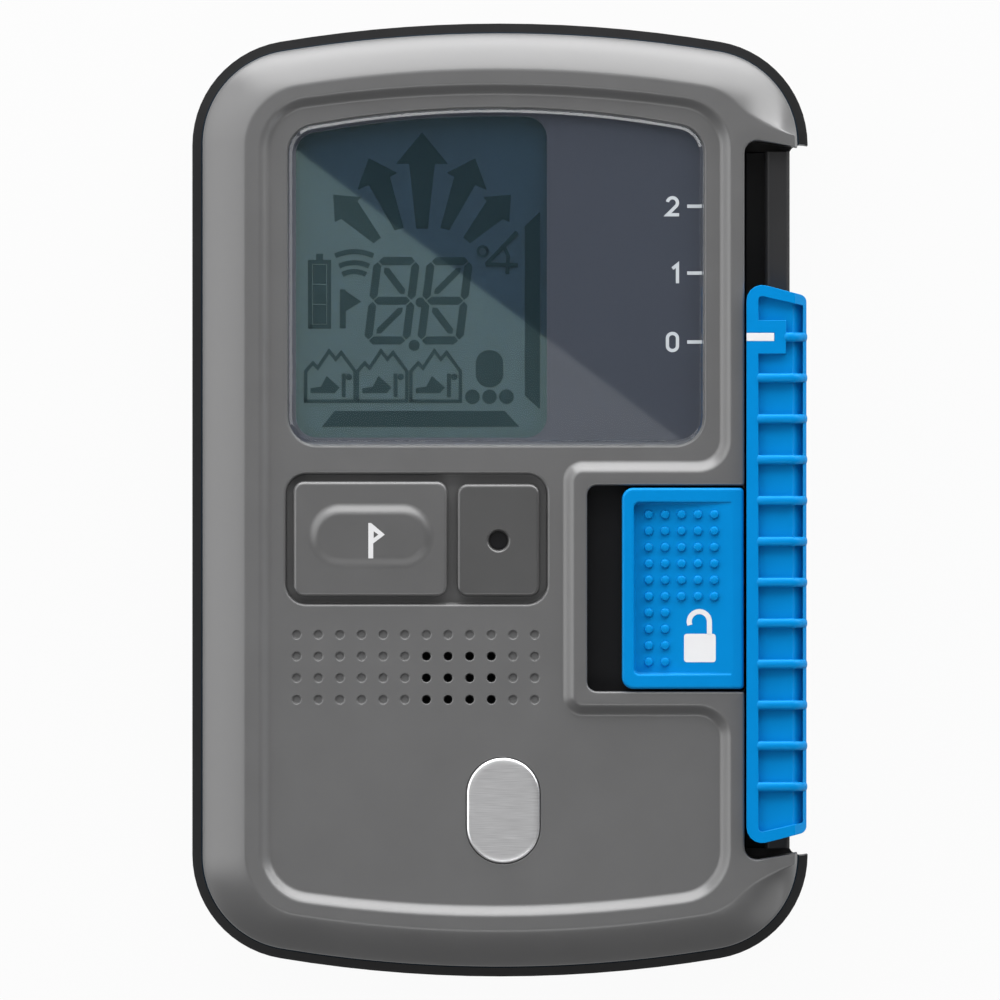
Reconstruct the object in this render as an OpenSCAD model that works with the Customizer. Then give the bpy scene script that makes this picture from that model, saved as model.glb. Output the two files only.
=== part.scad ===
// Hand-held avalanche transceiver: a two-shell case with a window, a mark button, a sliding mode
// switch down the right edge with its lock, three antennas and a three-cell battery bay.
// It lies on its back: X to the right, Y towards the display end, Z out of the front face.

/* [Case] */
// Width of the case
case_w = 76.2; // [75:0.1:84]
// Length of the case
case_l = 118; // [117:0.5:128]
// Height of the rear shell, up to the parting line
rear_h = 15.5; // [15:0.1:19]
// Height of the front shell, from the parting line to its crest
front_h = 12.1; // [11.8:0.1:15]
// Radius of the bowed ends
end_r = 165; // [140:1:220]
// Radius of the case corners, seen from the front
corner_r = 13; // [12:0.1:15]
// Wall of both shells
case_wall = 2.4; // [2.2:0.1:2.8]
// Wall of the back, round the battery opening
back_wall = 3.2; // [3:0.1:4]
// How far the rounding of the back runs in
back_round = 5.5; // [4:0.1:6.5]
// How far the rounding of the back rises
back_rise = 7; // [5:0.1:9]
// Edge of the rear shell that shows round the front shell
margin = 1.4; // [1:0.1:1.8]
// Least gap between pieces that are assembled
fit = 0.1; // [0.05:0.01:0.15]
// Gap between pieces that move
run = 0.4; // [0.3:0.05:0.5]

/* [Front relief] */
// Width of the rounded rim along the sides
rim_w = 5.3; // [4.5:0.1:6]
// Width of the rounded rim across the ends
rim_end_w = 4.5; // [4:0.1:5.5]
// Straight height of the front shell's edge
rim_edge_h = 5; // [3:0.1:7]
// Corner radius of the crest inside the rim
crest_r = 7.5; // [7:0.1:10]
// Flat band between the crest and the sunken panel
band_w = 1.6; // [1:0.1:2]
// Width of the slope down to the sunken panel
slope_w = 1.6; // [1:0.1:2]
// Depth of the sunken panel
panel_depth = 1; // [0.6:0.1:1.2]
// Thickness of the front under the sunken panel
roof_t = 2.6; // [2.4:0.1:3]
// Corner radius of the sunken panel
panel_r = 5; // [4:0.1:6]
// Corner radius where the panel steps round the lock
jog_r = 2.6; // [2:0.1:3]
// Flat edge between the panel and the slide bay
bay_border = 3.15; // [2.8:0.1:4]
// Flat edge and slope round the lock
lock_border = 3.1; // [2.8:0.1:3.4]

/* [Window] */
// Gap from the panel's left edge to the window
win_gap = 2; // [1.2:0.1:3]
// Gap from the window to the panel's right edge
win_gap_r = 1.8; // [1.2:0.1:3]
// Gap from the panel's upper edge to the window
win_gap_top = 1.5; // [1:0.1:3]
// Height of the window
win_h = 41.7; // [40:0.1:42.5]
// Corner radius of the window
win_r = 3.6; // [2:0.1:4.5]
// Bow radius of the window's upper edge
win_bow_r = 125; // [100:1:180]
// Thickness of the window
lens_t = 1.6; // [1.2:0.1:1.8]
// Height of the window above the panel
lens_proud = 0.3; // [0.1:0.05:0.5]
// Bevel along the window's edge
lens_bevel = 0.5; // [0.3:0.05:0.7]
// Ledge that carries the window
win_ledge = 1; // [0.8:0.1:1.4]
// Width of the display seen through the window
sight_w = 31; // [28:0.1:33]
// Corner radius of the display opening
sight_r = 2.6; // [1.5:0.1:3]
// Thickness of the display glass
lcd_t = 2; // [1.6:0.1:2.4]
// Thickness of the light guide behind the display
guide_t = 1.4; // [1:0.1:1.8]
// Overlap of the display behind its opening
lcd_lap = 0.7; // [0.5:0.1:0.9]
// Wall of the display frame
lcd_wall = 0.8; // [0.6:0.1:0.9]

/* [Keys] */
// Width of the key recess
key_w = 32.2; // [31:0.1:33]
// Height of the key recess
key_h = 16; // [15.5:0.1:17]
// Gap from the window to the key recess
key_gap = 3.5; // [3:0.1:4]
// Corner radius of the key recess
key_r = 2.5; // [1.5:0.1:3]
// Depth of the key recess
key_depth = 1.6; // [1.4:0.1:1.8]
// Gap round the key plates
key_rim = 0.9; // [0.6:0.05:1]
// Width of the mark button
btn_w = 19; // [18:0.1:20]
// Groove between the mark button and the light plate
key_groove = 1.2; // [0.8:0.1:1.6]
// Corner radius of the key plates
btn_r = 1.3; // [0.8:0.1:1.8]
// Height of the key plates above the panel
btn_proud = 0.4; // [0.2:0.05:0.6]
// Width of the raised pad on the mark button
pad_w = 15.7; // [14:0.1:16.5]
// Height of the raised pad on the mark button, across the front
pad_h = 8.2; // [7:0.1:9]
// Width of the pad's sloped edge
pad_slope = 1; // [0.6:0.1:1.4]
// Rise of the raised pad
pad_rise = 0.6; // [0.4:0.1:0.8]
// Travel of the mark button
btn_travel = 0.7; // [0.4:0.05:0.8]
// Radius of the mark button's stem
stem_r = 2; // [1.6:0.1:2.4]
// Radius of the light pipe
pipe_r = 1.05; // [0.8:0.05:1.2]
// Radius of the dish round the light pipe
pipe_dish_r = 1.6; // [1.4:0.05:2]

/* [Speaker and inlay] */
// Columns of speaker holes
grid_nx = 12; // [12:1:12]
// Rows of speaker holes
grid_ny = 4; // [4:1:4]
// Pitch of the speaker holes
grid_pitch = 2.67; // [2.4:0.01:2.7]
// Radius of a speaker hole
grid_r = 0.53; // [0.4:0.01:0.6]
// Gap from the key recess to the first row of holes
grid_gap = 3.8; // [3:0.1:4.5]
// Depth of the blind holes
dimple_depth = 0.7; // [0.4:0.1:1]
// Radius of the buzzer
buzzer_r = 8; // [7:0.1:8.5]
// Width of the oval inlay
inlay_w = 9; // [7:0.1:11]
// Length of the oval inlay
inlay_l = 13; // [10:0.1:14]
// Distance of the inlay's centre from the lower end
inlay_y = 20.7; // [19:0.1:24]
// Depth of the inlay's seat
inlay_depth = 0.5; // [0.3:0.05:0.7]

/* [Lock] */
// Width of the lock button
lock_w = 15; // [14:0.1:16]
// Length of the lock button
lock_l = 24.8; // [23:0.1:26]
// Gap from the window to the lock button
lock_gap = 5.2; // [4.8:0.1:6]
// Travel of the lock button
lock_travel = 4; // [3:0.1:4.2]
// Depth of the lock recess below the crest
lock_depth = 3.4; // [3.2:0.1:3.8]
// Height of the lock button above the crest
lock_proud = 0.4; // [0.2:0.1:0.8]
// Raised edge of the lock button
lock_frame = 1.5; // [1.2:0.1:1.8]
// Depth of the thumb dish at its left end
dish_depth = 1.5; // [1:0.1:1.8]
// Floor under the lock recess
lock_pad_t = 1.8; // [1.5:0.1:2]
// Pitch of the grip dots
dot_pitch = 2.02; // [1.8:0.01:2.1]
// Radius of a grip dot
dot_r = 0.5; // [0.4:0.01:0.6]
// Height of a grip dot
dot_h = 0.35; // [0.2:0.05:0.5]
// Wire of the lock spring
lock_wire = 0.4; // [0.3:0.05:0.5]
// Coil radius of the lock spring
lock_coil_r = 1.2; // [1:0.05:1.3]
// Curls of the lock spring
lock_curls = 6; // [4:1:7]

/* [Mode slider] */
// Depth of the slide bay from the case side
bay_d = 7.95; // [7.6:0.05:8.5]
// Distance of the slide bay's inner end from the case end
bay_gap = 14.45; // [14:0.05:15]
// Slope of the bay's ends over its depth
bay_slope = 1.2; // [0.8:0.1:1.6]
// Corner radius of the slide bay
bay_r = 1.5; // [1:0.1:2]
// Setback of the rail from the case side
rail_in = 2.35; // [2.2:0.05:2.5]
// Width of the rail's head
rail_w = 3.05; // [2.8:0.05:3.1]
// Height of the rail's head
rail_head_h = 2.1; // [1.8:0.1:2.3]
// Width of the rail's stem
rail_stem_w = 1.85; // [1.6:0.05:1.9]
// Thickness of the rail's foot
rail_foot_t = 1.7; // [1.4:0.1:2]
// Height of the slider above the crest
slide_proud = 1.4; // [1.2:0.1:2]
// Thickness of the slider's frame
slide_t = 3.1; // [2.9:0.1:3.3]
// Setback of the slider from the case side
slide_in = 0.3; // [0.2:0.05:0.4]
// Wall of the slider's side
slide_wall = 1.6; // [1.4:0.05:1.65]
// Height of the slider's lower edge above the back
skirt_z = 8; // [6:0.1:10]
// Width of the slider's frame along the bay
slide_frame = 1.45; // [1.2:0.05:1.6]
// Corner radius of the slider
slide_r = 1.9; // [1.4:0.1:2.4]
// Slope of the slider's ends over its width
slide_slope = 1.9; // [1.4:0.1:2.2]
// Depth of the slider's finger pockets
pocket_depth = 0.9; // [0.6:0.1:1.1]
// Chamfer along the slider's outer edge
slide_chamfer = 1.6; // [1.2:0.1:1.8]
// Thickness of a finger rib
rib_t = 1.1; // [0.8:0.05:1.3]
// Number of finger ribs
rib_n = 12; // [10:1:12]
// Distance from the slider's lower end to the first rib
rib_start = 7.5; // [7:0.1:7.9]
// Distance from the last rib to the slider's upper end
rib_end = 6.96; // [6.8:0.02:7.4]
// Travel of the slider from off past send to search
slide_travel = 16.7; // [14:0.1:16.8]
// Width of the raised pointer block
pointer_w = 3.4; // [3:0.1:3.8]
// Height of the raised pointer block
pointer_h = 4.1; // [3.6:0.1:4.4]
// Thickness of the pointer line
pointer_t = 1; // [0.8:0.05:1.1]
// Radius of the slider's magnet
magnet_r = 2; // [1.5:0.1:2.2]

/* [Battery] */
// Diameter of a cell
cell_d = 10.5; // [10.2:0.1:10.6]
// Length of a cell with its cap
cell_l = 44.5; // [43.5:0.1:44.8]
// Pitch of the cells
cell_pitch = 11; // [10.9:0.05:11.2]
// Distance of the first cell's axis below the middle of the case
cell_y = 17.5; // [17.3:0.1:18]
// Room for a contact at each end of a cell
contact_room = 2.6; // [2.4:0.1:2.8]
// Wall of the battery tray
tray_wall = 1; // [0.8:0.1:1.2]
// Thickness of the battery door
door_t = 1.4; // [1.2:0.1:1.5]
// Setback of the door from the back face
door_in = 0.2; // [0.1:0.05:0.3]
// Height of the door's seal
door_seal_h = 0.5; // [0.4:0.05:0.6]
// Width of the door's edge past the battery opening
door_edge = 1.65; // [1.6:0.05:1.7]
// Room for the door's screw beyond the battery opening
door_ear = 7.2; // [6.8:0.1:7.6]
// Height that the door lifts off
door_lift = 16; // [15:0.5:20]
// Wire of a contact spring
contact_wire = 0.6; // [0.5:0.05:0.65]

/* [Inside] */
// Thickness of the main board
board_t = 1.2; // [1:0.1:1.6]
// Gap from the parting line to the main board
board_gap = 0.5; // [0.4:0.1:0.8]
// Radius of a ferrite rod
rod_r = 3.4; // [3:0.1:3.5]
// Thickness of an antenna winding
coil_t = 0.7; // [0.5:0.05:0.75]
// Length of the long antenna's rod
rod_long = 78; // [70:0.5:80]
// Length of the cross antenna's rod
rod_cross = 44; // [38:0.5:46]
// Length of an antenna winding
coil_l = 30; // [24:0.5:32]
// Radius of the upright antenna's coil
upright_r = 8; // [6:0.1:8.5]
// Height of the upright antenna's coil
upright_h = 5; // [4:0.1:5.5]

/* [Fasteners] */
// Radius of a case screw's shank
screw_r = 1.2; // [1:0.05:1.25]
// Radius of a case screw's head
screw_head_r = 2.2; // [2:0.05:2.3]
// Height of a screw head
screw_head_h = 1.4; // [1.2:0.1:1.6]
// Radius of a threaded insert
insert_r = 1.8; // [1.7:0.05:1.85]
// Length of a threaded insert
insert_l = 5; // [4:0.1:5.5]
// Wall round a threaded insert
boss_wall = 0.6; // [0.5:0.05:0.7]
// Distance of a case screw from the case side
screw_x = 8.3; // [8.2:0.05:8.8]
// Distance of a case screw from the case end
screw_y = 11.2; // [10.6:0.1:11.4]
// Radius of a board screw
board_screw_r = 0.9; // [0.8:0.05:1]
// Width of the lanyard notch
notch_w = 12; // [10:0.5:14]
// Depth of the lanyard notch from the back
notch_h = 8; // [7.8:0.1:8.4]
// Reach of the lanyard notch from the case end
notch_d = 8.6; // [8.4:0.1:8.8]
// Radius of the lanyard bar
bar_r = 1.3; // [1:0.1:1.5]

/* [Hidden] */
$fn = 48;

// Corner steps of moulded outlines, and the least radius that a moved corner keeps
arc_steps = 14;
fine_steps = 5;
least_r = 0.05;
// Overlap that a cut takes past a face
cut = 1;

// Heights
hw = case_w / 2;
hl = case_l / 2;
crest_z = rear_h + front_h;
panel_z = crest_z - panel_depth;
roof_z = panel_z - roof_t;
board_z = rear_h + board_gap;
board_top = board_z + board_t;

// The slide bay and the walls beside it
bay_x = hw - bay_d;
bay_wall = 2.05;
bay_y = hl - bay_gap;
inner_x = bay_x - bay_wall;
rear_in = margin + case_wall - 0.2;
front_in = margin + case_wall;
seal_in = margin + case_wall / 2 - 0.25;
seal_x1 = hw - rail_in - 1.2;

// The sunken panel and what lies in it
crest_w2 = hw - margin - rim_w;
crest_l2 = hl - margin - rim_end_w;
panel_x0 = -(crest_w2 - band_w - slope_w);
panel_x1 = bay_x - bay_border;
panel_y = crest_l2 - band_w - slope_w;
win_x0 = panel_x0 + win_gap;
win_x1 = panel_x1 - win_gap_r;
win_y1 = panel_y - win_gap_top;
win_y0 = win_y1 - win_h;
lens_z1 = panel_z + lens_proud;
lens_z0 = lens_z1 - lens_t;
sight_x0 = win_x0 + win_ledge;
sight_x1 = sight_x0 + sight_w;
sight_y0 = win_y0 + win_ledge;
sight_y1 = win_y1 - win_ledge;
lcd_z0 = roof_z - lcd_t;
guide_z0 = lcd_z0 - guide_t;
frame_floor = 1;

key_x0 = win_x0 - 0.2;
key_x1 = key_x0 + key_w;
key_y1 = win_y0 - key_gap;
key_y0 = key_y1 - key_h;
key_floor = panel_z - key_depth;
btn_x0 = key_x0 + key_rim;
btn_x1 = btn_x0 + btn_w;
btn_y0 = key_y0 + key_rim;
btn_y1 = key_y1 - key_rim;
btn_z0 = key_floor + btn_travel + 0.2;
btn_z1 = panel_z + btn_proud;
btn_at = [(btn_x0 + btn_x1) / 2, (btn_y0 + btn_y1) / 2];
plate_x0 = btn_x1 + key_groove;
plate_x1 = key_x1 - key_rim;
pipe_at = [(plate_x0 + plate_x1) / 2, btn_at.y - 0.2];
switch_h = 2.4;
plunger_z1 = board_top + switch_h + 1;
membrane_t = 0.4;

grid_x = key_x0 + 1.3;
grid_y = key_y0 - grid_gap;
sound_cols = [6, 9];
sound_row = 1;
buzzer_at = [grid_x + (sound_cols[0] + sound_cols[1]) / 2 * grid_pitch, grid_y - 2 * grid_pitch];
mesh_t = 0.4;
inlay_at = [0.4, inlay_y - hl];

// The lock button and its recess
lock_x1 = bay_x - fit;
lock_x0 = lock_x1 - lock_w;
lock_y1 = win_y0 - lock_gap;
lock_y0 = lock_y1 - lock_l;
lock_mid = (lock_y0 + lock_y1) / 2;
lock_side = 0.3;
notch_x0 = lock_x0 - lock_travel - lock_side;
lock_floor = crest_z - lock_depth;
lock_z0 = lock_floor + 0.2;
lock_z1 = crest_z + lock_proud;
pad_z0 = lock_floor - lock_pad_t;
dish_x0 = lock_x0 + lock_frame;
dish_x1 = lock_x1 - 1.85;
dish_y0 = lock_y0 + lock_frame + 0.3;
dish_y1 = lock_y1 - lock_frame - 0.3;
dot_x = dish_x0 + 1.8;
dot_y = dish_y1 - 1.5;
lock_stem_x = [lock_x1 - 9.4, lock_x1 - 5.4];
lock_stem_y = 5;
clip_lap = 2;
clip_z1 = pad_z0 - 0.3;
clip_z0 = clip_z1 - 2.8;
spring_x1 = lock_stem_x[0] - clip_lap;
spring_l = 2.3 * lock_travel;
spring_z = clip_z0 + lock_coil_r + lock_wire / 2 + 0.1;
stop_x0 = spring_x1 - spring_l - 1.4;
pad_x0 = min(notch_x0 - 2, stop_x0);

// The rail and the slider
rail_x1 = hw - rail_in;
rail_x0 = rail_x1 - rail_w;
slide_z1 = crest_z + slide_proud;
slide_z0 = slide_z1 - slide_t;
rail_z1 = slide_z0 - run;
head_z0 = rail_z1 - rail_head_h;
foot_z1 = rear_h + rail_foot_t;
foot_x0 = bay_x + 0.2;
stem_x0 = rail_x1 - rail_stem_w;
rail_end = 0.3;
slide_x0 = bay_x + 0.25;
slide_x1 = hw - slide_in;
slide_gap = 1.7;
slide_y0 = -bay_y + slide_gap;
slide_l = 2 * bay_y - slide_travel - slide_gap - 0.8;
slide_y1 = slide_y0 + slide_l;
rib_y = slide_y0 + rib_start;
rib_pitch = (slide_l - rib_start - rib_end) / (rib_n - 1);
pointer_y = rib_y + (rib_n - 1) * rib_pitch;
pointer_x1 = slide_x0 + slide_frame + pointer_w;
line_x1 = slide_x0 + pointer_w;
line_h = 0.6;
leg_x0 = bay_x + 0.6;
leg_x1 = rail_x0 - run - 0.1;
leg_z0 = foot_z1 + 1.2;
leg_y0 = slide_y0 + 12;
leg_y1 = slide_y1 - 14;
hook_x1 = stem_x0 - run - 0.2;
hook_z1 = head_z0 - run;
hook_h = 1.4;
magnet_t = 1.1;
magnet_at = [(leg_y0 + leg_y1) / 2, leg_z0 + magnet_r + 0.5];
leaf_t = 0.3;
leaf_l = 12;
leaf_w = 1.6;
leaf_bump = 0.5;
leaf_y = leg_y1 - leaf_l;

// The battery bay, its door and the lanyard notch
cell_r = cell_d / 2;
cell_ys = [for (i = [0:2]) -cell_y - i * cell_pitch];
door_z0 = door_in;
door_z1 = door_in + door_t;
ledge_z0 = door_z1 + door_seal_h + 0.05;
cell_z = door_z1 + 0.4 + cell_r;
cell_gap = 0.2;
tray_in_x = cell_l / 2 + contact_room;
tray_y1 = cell_ys[0] + cell_r + cell_gap;
tray_y0 = cell_ys[2] - cell_r - cell_gap;
tray_z1 = cell_z + cell_r + cell_gap + 1.2;
nub_r = 1.9;
nub_l = 1.2;
door_x = tray_in_x + door_edge;
door_ys = [tray_y0 - door_ear, tray_y1 + door_ear];
door_screw_y = [tray_y0 - door_ear / 2 - 0.4, tray_y1 + door_ear / 2 + 0.4];
door_screw_l = 7;
door_boss_r = insert_r + boss_wall + 0.1;
door_r = 4;
seal_w = 0.8;
door_seal_at = [0.4, 0.4 + seal_w];
notch_y = hl - notch_d;
bar_at = [hl - 4.4, bar_r + 0.9];
notch_wall = 1.6;

// Antennas, board and screws
rod_z = back_wall + rod_r + coil_t + 0.2;
long_x = -(hw - rear_in - rod_r - coil_t - 0.4);
long_y = -2;
cross_y = notch_y - notch_wall - rod_r - coil_t - 1.5;
cradle_w = 2;
cradle_at = 5;
coil_gap_y = 0.5;
long_coil_y = long_y + rod_long / 2 - cradle_at - cradle_w / 2 - coil_gap_y - coil_l;
upright_at = [(sight_x1 + inner_x) / 2 + 1, (win_y0 + win_y1) / 2];
screws = [for (sx = [-1, 1], sy = [-1, 1]) [sx * (hw - screw_x), sy * (hl - screw_y)]];
boss_r = insert_r + boss_wall;
rear_boss_r = screw_head_r + 0.9;
head_seat = 2.4;
insert_z0 = rear_h + 0.3;
board_x0 = -hw + front_in + 0.9;
board_x1 = inner_x - 0.4;
board_y0 = 21 - hl;
board_y1 = hl - 15.5;
posts = [[board_x0 + 2.4, board_y1 - 21.5], [board_x0 + 2.4, board_y0 + 4], [board_x1 - 2.2, board_y1 - 3.5],
    [board_x1 - 2.2, board_y0 + 4]];
post_r = 1.8;
board_head_r = 1.6;
board_screw_l = 4;
shield_w = 13.5;
shield_h = 2.4;
shield_wall = 0.3;
shield_x1 = board_x1 - 5.1;
shield_y0 = board_y0 + 1;
shield_share = 0.5;
shield_l = shield_share * (lock_mid - lock_stem_y - clip_lap - shield_y0);
contact_r = 4;
contact_nub_r = 2.2;
contact_coil_r = [3.4, 1.6];
board_tab = [screws[0].x + boss_r + 0.8, notch_y + 0.4];

body_grey = "#6b6c6e";
body_black = "#222326";
signal_blue = "#0a86d2";

// The unit vector along v, v turned by an angle in degrees, and the value at t from a to b
function unit(v) = v / norm(v);
function turned(v, a) = [v.x * cos(a) - v.y * sin(a), v.x * sin(a) + v.y * cos(a)];
function mix(a, b, t) = a + (b - a) * t;

// One corner [x, y, radius] of a counterclockwise outline, moved outwards by d and rounded
function round_corner(p, c, n, d, steps) =
    let (u = unit([c.x - p.x, c.y - p.y]),
         v = unit([n.x - c.x, n.y - c.y]),
         side = u.x * v.y - u.y * v.x >= 0 ? 1 : -1,
         turn = acos(min(1, max(-1, u * v))),
         out_u = [u.y, -u.x],
         out_v = [v.y, -v.x],
         tip = [c.x, c.y] + d * (out_u + out_v) / (1 + out_u * out_v),
         r = max(c.z + side * d, least_r),
         centre = tip - u * r * tan(turn / 2) - side * r * out_u)
    [for (k = [0:steps]) centre + side * r * turned(out_u, side * turn * k / steps)];
function rounded(corners, d = 0, steps = fine_steps) =
    let (n = len(corners))
    [for (i = [0:n - 1])
        each round_corner(corners[(i + n - 1) % n], corners[i], corners[(i + 1) % n], d, steps)];
function box_corners(x0, x1, y0, y1, r) = [[x0, y0, r], [x1, y0, r], [x1, y1, r], [x0, y1, r]];

// Tilt of the two lines that a bowed edge of radius r is rounded from, and the height of their tip
function bow_tilt(half, corner, r) = atan((half - corner - 0.5) / r);
function bow_tip(tilt, r) = r * (1 / cos(tilt) - 1);
function bow_drop(half, corner, r) =
    let (tilt = bow_tilt(half, corner, r)) half * tan(tilt) - bow_tip(tilt, r);

// The case outline: straight sides, rounded corners and bowed ends, as arcs [centre, radius, from, to]
function case_arcs(w2, l2, er, cr) =
    let (cx = w2 - cr,
         tilt = asin(cx / (er - cr)),
         cy = l2 - er + (er - cr) * cos(tilt))
    [[[cx, cy], cr, 0, 90 - tilt, 0], [[0, l2 - er], er, 90 - tilt, 90 + tilt, 0],
     [[-cx, cy], cr, 90 + tilt, 180, 1], [[-cx, -cy], cr, 180, 270 - tilt, 0],
     [[0, er - l2], er, 270 - tilt, 270 + tilt, 0], [[cx, -cy], cr, 270 + tilt, 360, 1]];
function case_ring(w2, l2, er, cr) =
    [for (a = case_arcs(w2, l2, er, cr))
        for (k = [0:arc_steps - 1 + a[4]])
            a[0] + a[1] * [cos(mix(a[2], a[3], k / arc_steps)), sin(mix(a[2], a[3], k / arc_steps))]];
function case_inset(d) = case_ring(hw - d, hl - d, end_r - d, corner_r - d);
function lifted(ring, z) = [for (p = ring) [p.x, p.y, z]];
function middle(ring) = let (n = len(ring)) [for (k = [0:2]) [for (p = ring) p[k]] * [for (p = ring) 1] / n];

// A solid skinned through a stack of rings, each counterclockwise from above
module skin(rings) {
    n = len(rings[0]);
    m = len(rings);
    polyhedron(
        points = concat([for (r = rings) each r], [middle(rings[0]), middle(rings[m - 1])]),
        faces = concat(
            [for (j = [0:m - 2], i = [0:n - 1]) let (k = (i + 1) % n)
                each [[j * n + i, j * n + n + i, j * n + n + k], [j * n + i, j * n + n + k, j * n + k]]],
            [for (i = [0:n - 1]) [m * n, i, (i + 1) % n]],
            [for (i = [0:n - 1]) [m * n + 1, (m - 1) * n + (i + 1) % n, (m - 1) * n + i]]));
}

// A closed band carried round an outline, its profile points [outward offset, height]
module band(corners, profile, steps = fine_steps) {
    rings = [for (q = profile) lifted(rounded(corners, q[0], steps), q[1])];
    n = len(rings[0]);
    m = len(rings);
    polyhedron(
        points = [for (r = rings) each r],
        faces = [for (j = [0:m - 1], i = [0:n - 1]) let (k = (i + 1) % n, a = j * n, b = ((j + 1) % m) * n)
            each [[a + i, b + i, b + k], [a + i, b + k, a + k]]]);
}

// A plate with a softened upper edge, from an outline and [outward offset, height] steps
module plate(corners, steps_up, steps = fine_steps) {
    skin([for (q = steps_up) lifted(rounded(corners, q[0], steps), q[1])]);
}

module prism(pts, z0, z1) {
    translate([0, 0, z0]) linear_extrude(z1 - z0) polygon(pts);
}

module slab(x0, x1, y0, y1, z0, z1) {
    translate([x0, y0, z0]) cube([x1 - x0, y1 - y0, z1 - z0]);
}

module peg(at, r, z0, z1) {
    translate([at.x, at.y, z0]) cylinder(h = z1 - z0, r = r);
}

module rod_x(x0, x1, y, z, r) {
    translate([x0, y, z]) rotate([0, 90, 0]) cylinder(h = x1 - x0, r = r);
}

module rod_y(y0, y1, x, z, r) {
    translate([x, y0, z]) rotate([-90, 0, 0]) cylinder(h = y1 - y0, r = r);
}

// A prism along Y whose section is drawn in X and Z
module run_y(section, y0, y1) {
    translate([0, y1, 0]) rotate([90, 0, 0]) linear_extrude(y1 - y0) polygon(section);
}

// A wire spring up the Z axis: its turns, its tube, and the least gap between neighbouring turns
coil_rings = 8;
wire_sides = 6;
function coil_path(r0, r1, h, curls) =
    [for (i = [0:curls * coil_rings]) let (t = i / (curls * coil_rings), a = 360 * i / coil_rings)
        [mix(r0, r1, t) * cos(a), mix(r0, r1, t) * sin(a), h * t]];
function coil_gap(path, wire) =
    min([for (i = [0:len(path) - 1 - coil_rings]) norm(path[i + coil_rings] - path[i])]) - wire;
module coil(path, wire) {
    n = len(path);
    s = wire_sides;
    rings = [for (i = [0:n - 1])
        let (t = unit(path[min(i + 1, n - 1)] - path[max(i - 1, 0)]),
             out = unit([path[i].x, path[i].y, 0]),
             side = unit(cross(out, t)),
             up = cross(t, side))
        [for (k = [0:s - 1]) path[i] + wire / 2 * (cos(360 * k / s) * up + sin(360 * k / s) * side)]];
    polyhedron(
        points = [for (r = rings) each r],
        faces = concat(
            [for (i = [0:n - 2], k = [0:s - 1]) let (a = i * s, b = a + s, q = (k + 1) % s)
                each [[a + k, b + k, b + q], [a + k, b + q, a + q]]],
            [[for (k = [0:s - 1]) k]],
            [[for (k = [s - 1:-1:0]) (n - 1) * s + k]]));
}

// Outlines shared by a seat and the piece in it
panel_half = (panel_x1 - panel_x0) / 2;
panel_mid = (panel_x0 + panel_x1) / 2;
panel_bow_r = end_r - margin - rim_end_w - band_w;
panel_side_y = panel_y - bow_drop(panel_half, panel_r, panel_bow_r);
panel_tip_y = panel_side_y + panel_half * tan(bow_tilt(panel_half, panel_r, panel_bow_r));
panel_corners = [
    [panel_x0, -panel_side_y, panel_r], [panel_mid, -panel_tip_y, panel_bow_r],
    [panel_x1, -panel_side_y, panel_r], [panel_x1, lock_y0 - lock_side - lock_border, jog_r],
    [notch_x0 - lock_border, lock_y0 - lock_side - lock_border, jog_r],
    [notch_x0 - lock_border, lock_y1 + lock_side + lock_border, jog_r],
    [panel_x1, lock_y1 + lock_side + lock_border, jog_r], [panel_x1, panel_side_y, panel_r],
    [panel_mid, panel_tip_y, panel_bow_r], [panel_x0, panel_side_y, panel_r]];
win_half = (win_x1 - win_x0) / 2;
win_side_y = win_y1 - bow_drop(win_half, win_r, win_bow_r);
win_tip_y = win_side_y + win_half * tan(bow_tilt(win_half, win_r, win_bow_r));
win_corners = [
    [win_x0, win_y0, win_r], [win_x1, win_y0, win_r], [win_x1, win_side_y, win_r],
    [(win_x0 + win_x1) / 2, win_tip_y, win_bow_r], [win_x0, win_side_y, win_r]];
lcd_corners = box_corners(sight_x0 - lcd_lap, sight_x1 + lcd_lap, sight_y0 - lcd_lap, sight_y1 + lcd_lap, 0.6);
key_corners = box_corners(key_x0, key_x1, key_y0, key_y1, key_r);
btn_corners = box_corners(btn_x0, btn_x1, btn_y0, btn_y1, btn_r);
plate_corners = box_corners(plate_x0, plate_x1, btn_y0, btn_y1 - 0.3, btn_r);
inlay_corners = box_corners(inlay_at.x - inlay_w / 2, inlay_at.x + inlay_w / 2, inlay_at.y - inlay_l / 2,
    inlay_at.y + inlay_l / 2, inlay_w / 2 - least_r);
bay_reach = 4;
bay_corners = [
    [bay_x, -bay_y, bay_r], [hw + bay_reach, -bay_y + bay_slope * (bay_d + bay_reach) / bay_d, least_r],
    [hw + bay_reach, bay_y - bay_slope * (bay_d + bay_reach) / bay_d, least_r], [bay_x, bay_y, bay_r]];
slide_corners = [
    [slide_x0, slide_y0, slide_r], [slide_x1, slide_y0 + slide_slope, slide_r / 2],
    [slide_x1, slide_y1 - slide_slope, slide_r / 2], [slide_x0, slide_y1, slide_r]];
tray_corners = box_corners(-tray_in_x, tray_in_x, tray_y0, tray_y1, 0.6);
door_half_bow = bow_drop(door_x, door_r, end_r);
door_corners = [
    [-door_x, door_ys[0] + door_half_bow, door_r],
    [0, door_ys[0] - bow_tip(bow_tilt(door_x, door_r, end_r), end_r), end_r],
    [door_x, door_ys[0] + door_half_bow, door_r], [door_x, door_ys[1], door_r], [-door_x, door_ys[1], door_r]];

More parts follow.
